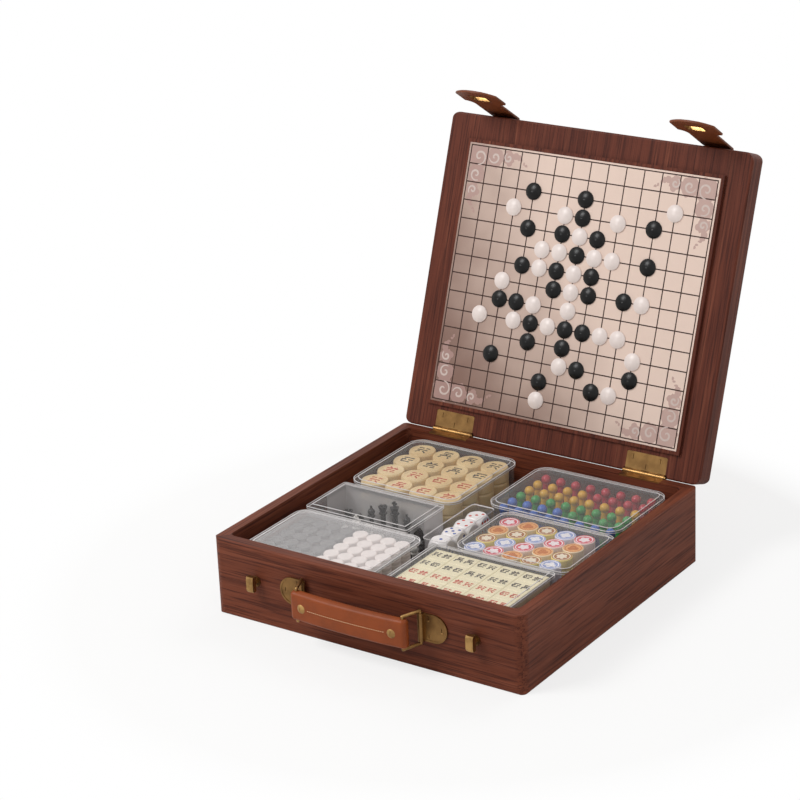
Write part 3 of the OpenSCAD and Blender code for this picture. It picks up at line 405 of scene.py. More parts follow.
def grid_lines(node, x, y, centre, half, cells, width):
    """1 on the lines of a grid with as many cells each way, else 0."""
    near, inside = [], []
    for value, middle, reach in ((x, centre.x, half.x), (y, centre.y, half.y)):
        moved = node("SUBTRACT", value, middle)
        wrapped = node("WRAP", node("ADD", moved, reach), reach / cells, -reach / cells)
        near.append(node("ABSOLUTE", wrapped))
        inside.append(node("SUBTRACT", node("ABSOLUTE", moved), reach))
    on_line = node("LESS_THAN", node("MINIMUM", *near), width / 2)
    within = node("LESS_THAN", node("MAXIMUM", *inside), width / 2)
    return node("MULTIPLY", on_line, within)


def clouds(node, x, y, centre, half, cell):
    """1 inside the lobes of the corner clouds, else 0. Their edges are a little scalloped."""
    away = zip((half.x, half.y), from_middle(node, x, y, centre))
    inwards = [node("SUBTRACT", reach, distance) for reach, distance in away]
    flat = node("CombineXYZ", node("MAXIMUM", *inwards), node("MINIMUM", *inwards))
    edge = mottling(node, 0.3 * cell, 1, place=flat)
    scallop = node("MULTIPLY_ADD", edge, 0.3 * cell, -0.15 * cell)
    cover = 0.0
    for along, across, size in CLOUD_LOBES + CLOUD_TAIL:
        lobe = (along * cell, across * cell, 0)
        away = node("VectorMath", flat, lobe, out=1, operation="DISTANCE")
        within = node("LESS_THAN", node("ADD", away, scallop), size * cell)
        cover = node("MAXIMUM", within, cover)
    return cover


def printed_board(node, paper, look, face, sign, box, grid=None):
    """Matt laminated print on board: faint mottling, painted shade that darkens it towards one
    corner, and ink in the scored lines, which lie deeper than the face. sign is 1 where the depth
    is towards higher Z on the shut lid. A grid is its half width and cells, and brings corner
    clouds."""
    place = lid_place(node, REST_TO_SHUT.to_translation())
    x, y, z = node("SeparateXYZ", place, out=None)
    centre, reach = (box[0] + box[1]) / 2, (box[1].x - box[0].x) / 2
    depth = node("MULTIPLY", node("SUBTRACT", z, face), sign)
    inked = node("GREATER_THAN", depth, 0.08 * MM)
    mottle = node("SUBTRACT", mottling(node, 0.09, 3, 0.55, place=place), 0.5)
    fibre = mottling(node, 1.5 * MM, 3, 0.6, place=place)
    # Painted shade: the corner slope darkens the ground towards one corner, standing in for shade
    # there; the mottling added to it is the paper's own random tone.
    corner = node("MULTIPLY_ADD", y, 0.45, node("MULTIPLY", x, -0.75))
    tone = node("MULTIPLY_ADD", mottle, reach * 0.9, corner)
    ground = coat(node, paper, look.shade, tone, -0.25 * reach, 1.05 * reach)
    if grid:
        half, cells = grid
        lobes = clouds(node, x, y, centre, half, 2 * half.x / cells)
        ground = coat(node, ground, look.motif, lobes, cover=0.75)
        inked = node("MAXIMUM", inked, grid_lines(node, x, y, centre, half, cells, look.line))
    return {
        "Base Color": coat(node, ground, look.ink, inked),
        "Roughness": (fibre, 0.12, 0.42), "Specular IOR Level": 0.25,
        "Relief": (fibre, 0.03 * MM, 0.2),
    }


def printed_ink(node, tint, cover):
    """Printer's ink over the board: flat colour that lets the lines below show through."""
    tone = coat(node, tint, darker(tint, 0.86), mottling(node, 1.2 * MM, 3, 0.6))
    return {"Base Color": tone, "Roughness": 0.5, "Alpha": cover}


def from_outline(node, x, y, centre, half, radius):
    """How far a place lies outside a rectangle with round corners; less than 0 inside."""
    away = zip(from_middle(node, x, y, centre), (half.x, half.y))
    gaps = [node("SUBTRACT", distance, reach - radius) for distance, reach in away]
    flat = node("CombineXYZ", *(node("MAXIMUM", gap, 0.0) for gap in gaps))
    away = node("VectorMath", flat, out=1, operation="LENGTH")
    inside = node("MINIMUM", node("MAXIMUM", *gaps), 0.0)
    return node("SUBTRACT", node("ADD", away, inside), radius)


def clear_plastic(node, look, veil, box, radius, levels, back=0.0):
    """Injection-moulded polystyrene, see-through face on. Where it curves away it turns whiter, a
    painted reflection. A painted highlight, a bright white line standing in for light catching
    its rims, runs round its outline, and round its raised middle where it has one. levels is the
    lowest and highest Z of those rims, and back is how much more the half toward the hinges
    hides, so that dark men show against it."""
    place = node("TexCoord", out=None)
    x, y, z = node("SeparateXYZ", place["Object"], out=None)
    centre, half = (box[0] + box[1]) / 2, (box[1] - box[0]) / 2
    upright = node("SeparateXYZ", place["Normal"], out=2)
    upward = node("GREATER_THAN", upright, 0.5)
    haze = node("MULTIPLY_ADD", upward, veil - look.haze, look.haze)
    if back:
        haze = node("MULTIPLY_ADD", node("GREATER_THAN", y, centre.y), back, haze)
    # Painted reflection: seen edge on, the plastic turns to more white cover, standing in for the
    # glancing reflection.
    facing = node("LayerWeight", 0.5, out="Facing")
    edge = node("MapRange", facing, 0.6, 1.0, interpolation_type="SMOOTHSTEP")
    cover = node("MULTIPLY_ADD", edge, look.edge, haze)
    out = from_outline(node, x, y, centre, half, radius)
    # Painted highlight: bright white lines along the rims, standing in for light catching them.
    lines = []
    for inset, level in zip((0.0, look.step), levels):
        beside, above = node("ADD", out, inset), node("SUBTRACT", z, level)
        near = [node("LESS_THAN", node("ABSOLUTE", a), look.line) for a in (beside, above)]
        lines.append(node("MULTIPLY", *near))
    rim = node("MULTIPLY", node("MAXIMUM", *lines), look.rim)
    return {
        "Base Color": look.tint, "Alpha": node("MAXIMUM", cover, rim), "IOR": 1.49,
        "Roughness": (mottling(node, 0.012), 0.1, 0.12),
    }


def moulded_plastic(node, tint, rough=0.3, gloss=0.4):
    """Injection-moulded styrene: even colour, a soft gloss and the faint waviness of the
    mould."""
    wave = mottling(node, 0.6 * MM, 2)
    return {
        "Base Color": coat(node, tint, darker(tint, 0.84), mottling(node, 0.01, 2)),
        "Roughness": (wave, 0.08, rough), "Specular IOR Level": gloss,
        "Relief": (wave, 0.02 * MM, 0.15),
    }


def turned_maple(node, look):
    """Pale turned hardwood under clear lacquer: fine rings and a warm tone that changes from
    piece to piece."""
    grain = mottling(node, 1.2 * MM, 3, 0.6, (14, 1, 1))
    tone = node("MULTIPLY_ADD", mottling(node, 0.03, 1), 0.5, node("MULTIPLY", grain, 0.35))
    return {
        "Base Color": coat(node, look.disc, look.disc_dark, tone, 0.2, 0.75),
        "Roughness": (grain, 0.1, 0.34), "Relief": (grain, 0.05 * MM, 0.2),
    }


def topped_token(node, face, side):
    """A moulded disc with a printed face: pale sides, and its colour on the flat top."""
    upright = node("SeparateXYZ", node("TexCoord", out="Normal"), out=2)
    upward = node("GREATER_THAN", upright, 0.9)
    speckle = mottling(node, 0.8 * MM, 2)
    return {
        "Base Color": coat(node, linear(side), linear(face), upward),
        "Roughness": (speckle, 0.1, 0.34),
    }


def rolled_steel(node):
    """Cold-rolled steel sheet, hidden behind the board: grey, with fine rolling lines."""
    lines = mottling(node, 0.6 * MM, 2, 0.5, (30, 1, 1))
    return {
        "Base Color": linear("#9c9c9e"), "Metallic": 1.0,
        "Roughness": (lines, 0.15, 0.35),
    }


def painted_dice(node, look):
    """Moulded white acrylic, tumbled smooth, with paint in the hollows of its pips: blue in the
    front row and red in the back one. Every die is one step of the row and the layer away."""
    boxes = solids("dice")
    low, high = boxes[0]
    size = high.x - low.x
    layers, rows = (sorted({round(b[0][axis], 6) for b in boxes}) for axis in (2, 1))
    first = (low + high) / 2
    x, y, z = node("SeparateXYZ", node("TexCoord", out="Object"), out=None)
    steps = (1.0, rows[1] - rows[0], layers[1] - layers[0])
    local = [
        node("WRAP", node("SUBTRACT", value, start), step / 2, -step / 2)
        for value, start, step in zip((x, y, z), first, steps)
    ]
    away = [node("ABSOLUTE", value) for value in local]
    reach = node("MAXIMUM", node("MAXIMUM", away[0], away[1]), away[2])
    radius = node("VectorMath", node("CombineXYZ", *local), out=1, operation="LENGTH")
    sunk = node("LESS_THAN", reach, size / 2 - 0.06 * MM)
    pip = node("MULTIPLY", sunk, node("LESS_THAN", radius, size * 0.675))
    back = node("GREATER_THAN", y, (rows[0] + rows[-1] + size) / 2)
    tint = coat(node, look.blue_mark, look.red_mark, back)
    return {"Base Color": coat(node, look.die, tint, pip), "Roughness": 0.22,
            "Coat Weight": 0.1}


def pale_floor(node, look):
    """Matt studio paper, which the camera sees as white away from the box."""
    away = node("VectorMath", node("TexCoord", out="Object"), out=1, operation="LENGTH")
    faded = node("MapRange", away, 0.2, 0.42, interpolation_type="SMOOTHSTEP")
    seen = node("LightPath", out="Is Camera Ray")
    far = node("MULTIPLY", node("MAXIMUM", faded, 0.75), seen)
    white = node("Emission", {"Color": (1, 1, 1, 1), "Strength": 1.0})
    return node("MixShader", far, node("BsdfDiffuse", {"Color": look.floor}), white)


# Meshes


def box_in(node, to_local):
    """Lowest and highest corner of a node in some local frame."""
    points = [to_local @ vertex.co for vertex in NODES[node].data.vertices]
    return Vector(map(min, *points)), Vector(map(max, *points))


def solids(node):
    """The box of each separate solid in a node, as (lowest, highest) corners."""
    mesh = NODES[node].data
    parent = list(range(len(mesh.vertices)))

    def root(i):
        while parent[i] != i:
            parent[i] = parent[parent[i]]
            i = parent[i]
        return i

    same = {}
    for vertex in mesh.vertices:
        key = tuple(round(c, 6) for c in vertex.co)
        parent[root(vertex.index)] = root(same.setdefault(key, vertex.index))
    for polygon in mesh.polygons:
        first = polygon.vertices[0]
        for other in polygon.vertices[1:]:
            parent[root(other)] = root(first)
    boxes = {}
    for vertex in mesh.vertices:
        low, high = boxes.setdefault(root(vertex.index), (vertex.co.copy(), vertex.co.copy()))
        for axis in range(3):
            low[axis] = min(low[axis], vertex.co[axis])
            high[axis] = max(high[axis], vertex.co[axis])
    return sorted(boxes.values(), key=lambda b: (round(b[0].z, 4), round(b[0].y, 4), b[0].x))


def paint(made, *nodes):
    """Gives CAD nodes one material."""
    for node in nodes:
        mesh = NODES[node].data
        mesh.materials.clear()
        mesh.materials.append(made)


def placed(name, data):
    """A new object in the scene."""
    made = bpy.data.objects.new(name, data)
    bpy.context.scene.collection.objects.link(made)
    return made


def new_piece(name, shape, made, body=None, smooth_angle=35.0):
    """A piece from a bmesh, which is freed: smooth but for its sharper edges, and riding on a
    body."""
    bmesh.ops.recalc_face_normals(shape, faces=shape.faces)
    mesh = bpy.data.meshes.new(name)
    shape.to_mesh(mesh)
    shape.free()
    mesh.materials.append(made)
    mesh.polygons.foreach_set("use_smooth", [True] * len(mesh.polygons))
    mesh.set_sharp_from_angle(angle=math.radians(smooth_angle))
    piece = placed(name, mesh)
    if body:
        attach(piece, body)
    return piece


def skin(shape, rings, closed=False):
    """Joins rings of points into one skin, capped at both ends or closed into a loop."""
    rings = [[shape.verts.new(point) for point in ring] for ring in rings]
    for first, second in zip(rings, rings[1:] + rings[:1] * closed):
        for k, vertex in enumerate(first):
            j = (k + 1) % len(first)
            shape.faces.new((vertex, first[j], second[j], second[k]))
    if not closed:
        shape.faces.new(rings[0])
        shape.faces.new(rings[-1])


def ribbon(shape, points, widths, low, high, matrix):
    """A closed strip of changing width along points in a plane, from low to high in Z."""
    rings = []
    for i, (x, y) in enumerate(points):
        run = Vector(points[min(i + 1, len(points) - 1)]) - Vector(points[max(i - 1, 0)])
        side = Vector((-run.y, run.x)).normalized() * (widths[i] / 2)
        corners = ((1, low), (-1, low), (-1, high), (1, high))
        rings.append([matrix @ Vector((x + k * side.x, y + k * side.y, z)) for k, z in corners])
    skin(shape, rings)


def plate(shape, outline, low, high, matrix):
    """A closed flat plate with a simple outline."""
    skin(shape, [[matrix @ Vector((x, y, z)) for x, y in outline] for z in (low, high)])


def round_points(radii, steps, start=0.0, sweep=math.tau):
    """Points about a centre, one for each radius, spread evenly over steps of a sweep."""
    turns = (start + sweep * k / steps for k in range(len(radii)))
    return [(r * math.cos(a), r * math.sin(a)) for r, a in zip(radii, turns)]


def ring(shape, inner, outer, low, high, matrix, count=32):
    """A closed flat ring."""
    corners = ((inner, low), (outer, low), (outer, high), (inner, high))
    loops = [
        [matrix @ Vector((x, y, z)) for x, y in round_points([r] * count, count)]
        for r, z in corners
    ]
    skin(shape, loops, closed=True)


def stitches(shape, path, pitch, width):
    """Short thread stitches, thin at their ends, laid along a path of (point, normal) pairs."""
    lengths = [0.0]
    for (a, _), (b, _) in zip(path, path[1:]):
        lengths.append(lengths[-1] + (b - a).length)

    def at(distance):
        i = 0
        while distance > lengths[i + 1] and i < len(path) - 2:
            i += 1
        t = (distance - lengths[i]) / max(lengths[i + 1] - lengths[i], 1e-9)
        return (a.lerp(b, t) for a, b in zip(path[i], path[i + 1]))

    count = max(int(lengths[-1] / pitch), 1)
    for k in range(count):
        start, normal = at((k + 0.14) * lengths[-1] / count)
        end, _ = at((k + 0.86) * lengths[-1] / count)
        side = (end - start).normalized().cross(normal).normalized()
        rings = []
        for t, swell in ((0, 0.35), (0.15, 0.9), (0.5, 1.0), (0.85, 0.9), (1, 0.35)):
            centre = start.lerp(end, t) + normal * (width * 0.42 * (swell - 0.55))
            around = round_points([width / 2 * swell] * 6, 6)
            rings.append([centre + side * x + normal * y for x, y in around])
        skin(shape, rings)


def flat_shape(outlines, thickness, ease):
    """A flat plate from an outline and any holes in it, with rounded edges."""
    curve = bpy.data.curves.new("flat", "CURVE")
    curve.dimensions = "2D"
    curve.fill_mode = "BOTH"
    curve.extrude = thickness / 2 - ease
    curve.bevel_depth = ease
    curve.bevel_resolution = 2
    curve.offset = -ease
    for outline in outlines:
        spline = curve.splines.new("POLY")
        spline.points.add(len(outline) - 1)
        for point, (x, y) in zip(spline.points, outline):
            point.co = (x, y, 0, 1)
        spline.use_cyclic_u = True
    holder = placed("flat", curve)
    bpy.context.view_layer.update()
    graph = bpy.context.evaluated_depsgraph_get()
    mesh = bpy.data.meshes.new_from_object(holder.evaluated_get(graph))
    bpy.data.objects.remove(holder)
    bpy.data.curves.remove(curve)
    shape = bmesh.new()
    shape.from_mesh(mesh)
    bpy.data.meshes.remove(mesh)
    return shape


def rounded_rectangle(width, height, radius, steps=6):
    """Corner points of a rectangle with round corners, about its centre."""
    points = []
    for cx, cy, start in ((1, 1, 0), (-1, 1, 90), (-1, -1, 180), (1, -1, 270)):
        turn = round_points([radius] * (steps + 1), steps, math.radians(start), math.pi / 2)
        x, y = cx * (width / 2 - radius), cy * (height / 2 - radius)
        points += [(x + a, y + b) for a, b in turn]
    return points


def cloud_scrolls(shape, cell, low, high, matrix):
    """Pale scroll lines in the lobes of a corner cloud, growing along both edges. Each is a
    spiral of a little over one turn that opens out, and is widest half way along."""
    shares = [k / 26 for k in range(27)]
    widths = [cell * 0.05 * (1 + math.sin(math.pi * t)) for t in shares]
    for index, (along, across, size) in enumerate(CLOUD_LOBES):
        radii = [size * 0.66 * (0.12 + 0.88 * t) for t in shares]
        ways = ((along, across, 1), (across, along, -1))
        for x, y, way in ways[: 1 + (along != across)]:
            spiral = round_points(radii, 26, 0.7 + index * 1.3, way * 1.15 * math.tau)
            points = [((x + a) * cell, (y + b) * cell) for a, b in spiral]
            ribbon(shape, points, widths, low, high, matrix)


def board_corners(low, high, inset):
    """A matrix for each corner of a board, with X and Y pointing into the board."""
    for sx in (-1, 1):
        for sy in (-1, 1):
            x = (low.x + inset) if sx < 0 else (high.x - inset)
            y = (low.y + inset) if sy < 0 else (high.y - inset)
            yield Matrix.Translation((x, y, 0)) @ Matrix.Diagonal((-sx, -sy, 1, 1))


def brush_mark(shape, strokes, centre, size, width, top, depth):
    """One painted mark of tapered, slightly sagging strokes on a flat top."""
    for start, end in strokes:
        points, widths = [], []
        for t in (k / 5 for k in range(6)):
            x, y = Vector(start).lerp(Vector(end), t)
            y += 0.06 * math.sin(math.pi * t)
            points.append((centre.x + size * x, centre.y + size * y))
            widths.append(width * (0.55 + 0.45 * abs(math.cos(math.pi * (t - 0.1)))))
        ribbon(shape, points, widths, top, top + depth, Matrix.Identity(4))


def top_prints(node, name, ink, body, draw):
    """Paint on a node's uppermost solids. draw adds that of one, from its middle, its width
    and its top."""
    shape = bmesh.new()
    boxes = solids(node)
    highest = max(high.z for _, high in boxes)
    for low, high in boxes:
        if highest - high.z < 1 * MM:
            draw(shape, (low + high) / 2, high.x - low.x, high.z)
    new_piece(name, shape, ink, body)


# Pieces


class GAMES_OT_wood(bpy.types.Operator):
    """Stains and lacquers the base, the lid and its panel"""

    bl_idname = "games.wood"
    bl_label = "Wood"

    def execute(self, context):
        look = context.scene.games_wood
        for node, name, stain, grain in (
            ("base_frame", "base_walnut", look.base_stain, wall_grain),
            ("base_floor", "floor_walnut", look.base_stain, board_grain),
            ("lid_frame", "lid_walnut", look.lid_stain, lid_grain),
            ("lid_panel", "panel_walnut", look.lid_stain, lid_grain),
        ):
            paint(material(name, stained_wood, stain, look, grain), node)
        paint(material("rolled_steel", rolled_steel), "steel_sheet")
        return {"FINISHED"}


class GAMES_OT_inner_board(bpy.types.Operator):
    """Prints the board inside the lid, with its corner clouds"""

    bl_idname = "games.inner_board"
    bl_label = "Inner Board"
    cells: bpy.props.IntProperty(name="Cells", description="Cells along each side", default=14)
    edge: length("Edge", "Bare edge outside the grid", 2.2)

    def execute(self, context):
        look = context.scene.games_print
        box = low, high = box_in("inner_board", REST_TO_SHUT)
        half = (high - low) / 2 - Vector((self.edge, self.edge, 0))
        grid = (half, self.cells)
        board = material("laminated_board", printed_board, look.paper, look, low.z, 1, box, grid)
        paint(board, "inner_board")
        lines = bmesh.new()
        for corner in board_corners(low, high, self.edge):
            matrix = SHUT_TO_REST @ corner
            cloud_scrolls(lines, 2 * half.x / self.cells, low.z, low.z - look.ink_depth, matrix)
        ink = material("corner_cloud_ink", printed_ink, look.motif_line, 0.75)
        new_piece("corner_cloud_lines", lines, ink, "lid")
        return {"FINISHED"}


class GAMES_OT_outer_board(bpy.types.Operator):
    """Prints the board outside the lid: brown corners, brackets at its points and a river"""

    bl_idname = "games.outer_board"
    bl_label = "Outer Board"
    files: bpy.props.IntProperty(name="Files", description="Cells across", default=8)
    ranks: bpy.props.IntProperty(name="Ranks", description="Cells from hinge to edge", default=9)
    edge_x: length("Side edge", "From the sheet's side to the grid", 16.5)
    edge_y: length("End edge", "From the sheet's end to the grid", 2.6)
    step: length("Step", "Size of one step in the sheet's corners", 4.5)
    bracket_line: length("Bracket line", "Width of a bracket's stroke", 0.8)
    wave_line: length("Wave line", "Width of a wave's line", 0.5)

    def execute(self, context):
        look = context.scene.games_print
        box = low, high = box_in("outer_board", REST_TO_SHUT)
        sheet = material("laminated_sheet", printed_board, look.outer_paper, look, high.z, -1, box)
        paint(sheet, "outer_board")
        span, centre = high - low, (low + high) / 2
        cell_x = (span.x - 2 * self.edge_x) / self.files
        cell_y = (span.y - 2 * self.edge_y) / self.ranks
        ink_z = (high.z, high.z + look.ink_depth)
        border, marks, waves = bmesh.new(), bmesh.new(), bmesh.new()
        self.corner_steps(border, low, high, ink_z)
        for file, rank in self.points():
            place = (centre.x + file * cell_x, centre.y + rank * cell_y)
            self.bracket(marks, place, file, cell_x, ink_z)
        self.river(waves, centre, cell_x, cell_y, ink_z)
        for name, shape, tint, cover in (
            ("sheet_corners", border, look.outer_field, 1.0),
            ("point_brackets", marks, look.ink, 1.0),
            ("river_waves", waves, look.motif, 0.8),
        ):
            ink = material(name + "_ink", printed_ink, tint, cover)
            new_piece(name, shape, ink, "lid")
        return {"FINISHED"}

    def points(self):
        """The marked points, as files and ranks from the middle."""
        for sign in (-1, 1):
            for file in (-3, 3):
                yield file, sign * (self.ranks / 2 - 2)
            for file in (-4, -2, 0, 2, 4):
                yield file, sign * (self.ranks / 2 - 3)

    def bracket(self, shape, place, file, cell, ink_z):
        """Four small corner strokes round a point, only inside the grid."""
        gap, arm, widths = cell * 0.1, cell * 0.16, [self.bracket_line] * 2
        for sx in (-1, 1):
            if abs(file + sx * 0.5) > self.files / 2:
                continue
            for sy in (-1, 1):
                x, y = place[0] + sx * gap, place[1] + sy * gap
                points = [(x + sx * arm, y), (x, y), (x, y + sy * arm)]
                for stroke in zip(points, points[1:]):
                    ribbon(shape, stroke, widths, *ink_z, SHUT_TO_REST)

    def corner_steps(self, shape, low, high, ink_z):
        """Brown stepped squares that notch the sheet's corners."""
        for corner in board_corners(low, high, 0):
            for k in range(3):
                right, near, far = (n * self.step for n in (3 - k, k, k + 1))
                outline = [(0, near), (right, near), (right, far), (0, far)]
                plate(shape, outline, *ink_z, SHUT_TO_REST @ corner)

    def river(self, shape, centre, cell_x, cell_y, ink_z):
        """Rows of fan waves between the two halves, with a bare ring in the middle."""
        radius = cell_y / 4.2
        columns = int(self.files * cell_x / (2 * radius))
        for row in range(3):
            for k in range(columns + 1 - row % 2):
                x = centre.x + (k + (row % 2) / 2 - columns / 2) * 2 * radius
                y = centre.y + (row - 1.2) * radius
                if abs(x - centre.x) < cell_x * 0.55:
                    continue
                for part in (0.95, 0.6, 0.28):
                    fan = round_points([radius * part] * 11, 10, sweep=math.pi)
                    arc = [(x + a, y + b) for a, b in fan]
                    ribbon(shape, arc, [self.wave_line] * 11, *ink_z, SHUT_TO_REST)
        middle = SHUT_TO_REST @ Matrix.Translation((centre.x, centre.y, 0))
        ring(shape, cell_y * 0.3, cell_y * 0.34, *ink_z, middle)


class GAMES_OT_brass(bpy.types.Operator):
    """Ages the brass of the hinges, handle, buttons, eyelets, rivets and screws"""

    bl_idname = "games.brass"
    bl_label = "Brass"

    def execute(self, context):
        look = context.scene.games_brass
        paint(
            material("aged_brass", aged_brass, look.metal, look),
            "hinge_base_leaves", "hinge_lid_leaves", "hinge_pins", "hinge_base_screws",
            "hinge_lid_screws", "handle_plates", "handle_screws", "button_bushes",
        )
        paint(
            material("polished_brass", aged_brass, look.bright, look),
            "handle_loop_left", "handle_loop_right", "grip_studs", "button_left",
            "button_right", "strap_rivets", "eyelet_left", "eyelet_right",
        )
        return {"FINISHED"}


class StrapPath:
    """The strap's run from its riveted root over the lid's edge and down its flap. s runs
    along it, x across and n out of the leather's middle."""

    slack = 0.25 * MM  # between the leather and the lid's edge
    shoulder = 36 * MM  # from the flap's tip up to where it widens
    tip = 34 * MM  # radius of the flap's round tip
    eyelet = 17 * MM  # from the flap's tip up to the middle of its eyelet
    spare = 0.2  # degrees between the flap's lean and its joint's stop

    def __init__(self, side):
        joint = JOINTS[f"strap_{side}_bend"]
        edge = REST_TO_SHUT @ Vector(joint["pos_m"])
        lean = math.radians(self.spare - joint["range_deg"][0])
        self.to_rest = SHUT_TO_REST @ Matrix.Translation(edge)
        root_low, root_high = box_in("strap_roots", self.to_rest.inverted())
        flap_frame = self.to_rest @ Matrix.Rotation(-lean, 4, "X")
        flap_low, flap_high = box_in(f"strap_flap_{side}", flap_frame.inverted())
        self.thickness = root_high.z - root_low.z
        self.root = root_high.y
        self.half_root = (root_high.x - root_low.x - 2 * abs(edge.x)) / 2
        self.half_flap = (flap_high.x - flap_low.x) / 2
        self.reach = -flap_low.z
        self.radius = self.thickness / 2 + self.slack
        self.turn = math.pi / 2 - lean
        self.bend_length = self.radius * self.turn
        self.total = self.root + self.bend_length + self.reach

    def place(self, s, x, n):
        """The point at s along, x across and n out, where the lid stands."""
        if s < self.root:
            rise = self.thickness / 2 + (self.radius - self.thickness / 2) * s / self.root
            return self.to_rest @ Vector((x, self.root - s, rise + n))
        angle = math.pi / 2 + min((s - self.root) / self.radius, self.turn)
        out = Vector((0, math.cos(angle), math.sin(angle)))
        down = Vector((0, -math.sin(angle), math.cos(angle)))
        beyond = max(s - self.root - self.bend_length, 0)
        return self.to_rest @ (Vector((x, 0, 0)) + out * (self.radius + n) + down * beyond)

    def half_width(self, s, inset=0.0):
        """Half the strap's width at s, less an inset."""
        from_tip = self.total - s
        flare = self.half_flap - self.half_root
        half = self.half_root
        if from_tip < self.shoulder - flare:
            half = self.half_flap
        elif from_tip < self.shoulder:
            half = self.half_flap - math.sqrt(max(flare**2 - (self.shoulder - from_tip) ** 2, 0))
        if from_tip < self.tip:
            half = min(half, math.sqrt(max(self.tip**2 - (self.tip - from_tip) ** 2, 0)))
        return max(half - inset, 0)


class GAMES_OT_straps(bpy.types.Operator):
    """Builds each leather strap in one piece from its rivets to its flap, with stitching"""

    bl_idname = "games.straps"
    bl_label = "Straps"
    ease: length("Edge rounding", "Rounding of the leather's edges", 0.7)
    seam: length("Seam inset", "From the edge to the stitching", 2.4)
    seam_start: length("Seam start", "From the strap's root to the stitching", 3)
    slot_width: length("Slot width", "Hole for the eyelet, across", 20.2)
    slot_height: length("Slot height", "Hole for the eyelet, along", 12.7)
    slot_corner: length("Slot corner", "Radius of the hole's corners", 2.6)

    def execute(self, context):
        look = context.scene.games_leather
        leather = material("strap_leather", tanned_leather, look.strap, look)
        thread = material("waxed_thread", waxed_thread, look)
        for side in ("left", "right"):
            path = StrapPath(side)
            strap = new_piece(f"strap_{side}", self.strap_shape(path), leather)
            seams = bmesh.new()
            for way in (-1, 1):
                stitches(seams, self.seam_path(path, way), look.stitch, look.thread_width)
            seam = new_piece(f"strap_stitching_{side}", seams, thread)
            for piece in (strap, seam):
                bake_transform(piece)
            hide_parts(f"strap_flap_{side}", "strap_roots")
        return {"FINISHED"}

    def strap_shape(self, path):
        """The strap's outline, cut across where it bends, and laid along its run."""
        places = [path.total * k / 120 for k in range(1, 120)]
        right = [(path.half_width(s), s) for s in places]
        outline = [(path.half_root, 0)] + right + [(0, path.total)]
        outline += [(-x, s) for x, s in reversed(right)] + [(-path.half_root, 0)]
        hole = rounded_rectangle(self.slot_width, self.slot_height, self.slot_corner)
        hole = [(x, path.total - path.eyelet + y) for x, y in hole]
        shape = flat_shape([outline, hole], path.thickness, self.ease)
        cuts = [path.root + path.bend_length * k / 10 for k in range(11)]
        for s in sorted(cuts + [path.total * k / 30 for k in range(1, 30)]):
            everything = shape.verts[:] + shape.edges[:] + shape.faces[:]
            bmesh.ops.bisect_plane(
                shape, geom=everything, plane_co=(0, s, 0), plane_no=(0, 1, 0), dist=1e-6
            )
        for vertex in shape.verts:
            x, s, n = vertex.co
            vertex.co = path.place(s, x, n)
        return shape

    def seam_path(self, path, way):
        """The stitching's run down one side of the strap, drawn in a little at the tip."""
        points, count = [], 90
        for k in range(count + 1):
            s = self.seam_start + (path.total - self.seam_start - self.seam) * k / count
            tip = self.seam * 0.4 if k > count - 7 else 0
            x = way * path.half_width(s + tip, self.seam)
            out = (path.place(s, 0, MM) - path.place(s, 0, 0)).normalized()
            points.append((path.place(s, x, path.thickness / 2), out))
        return points


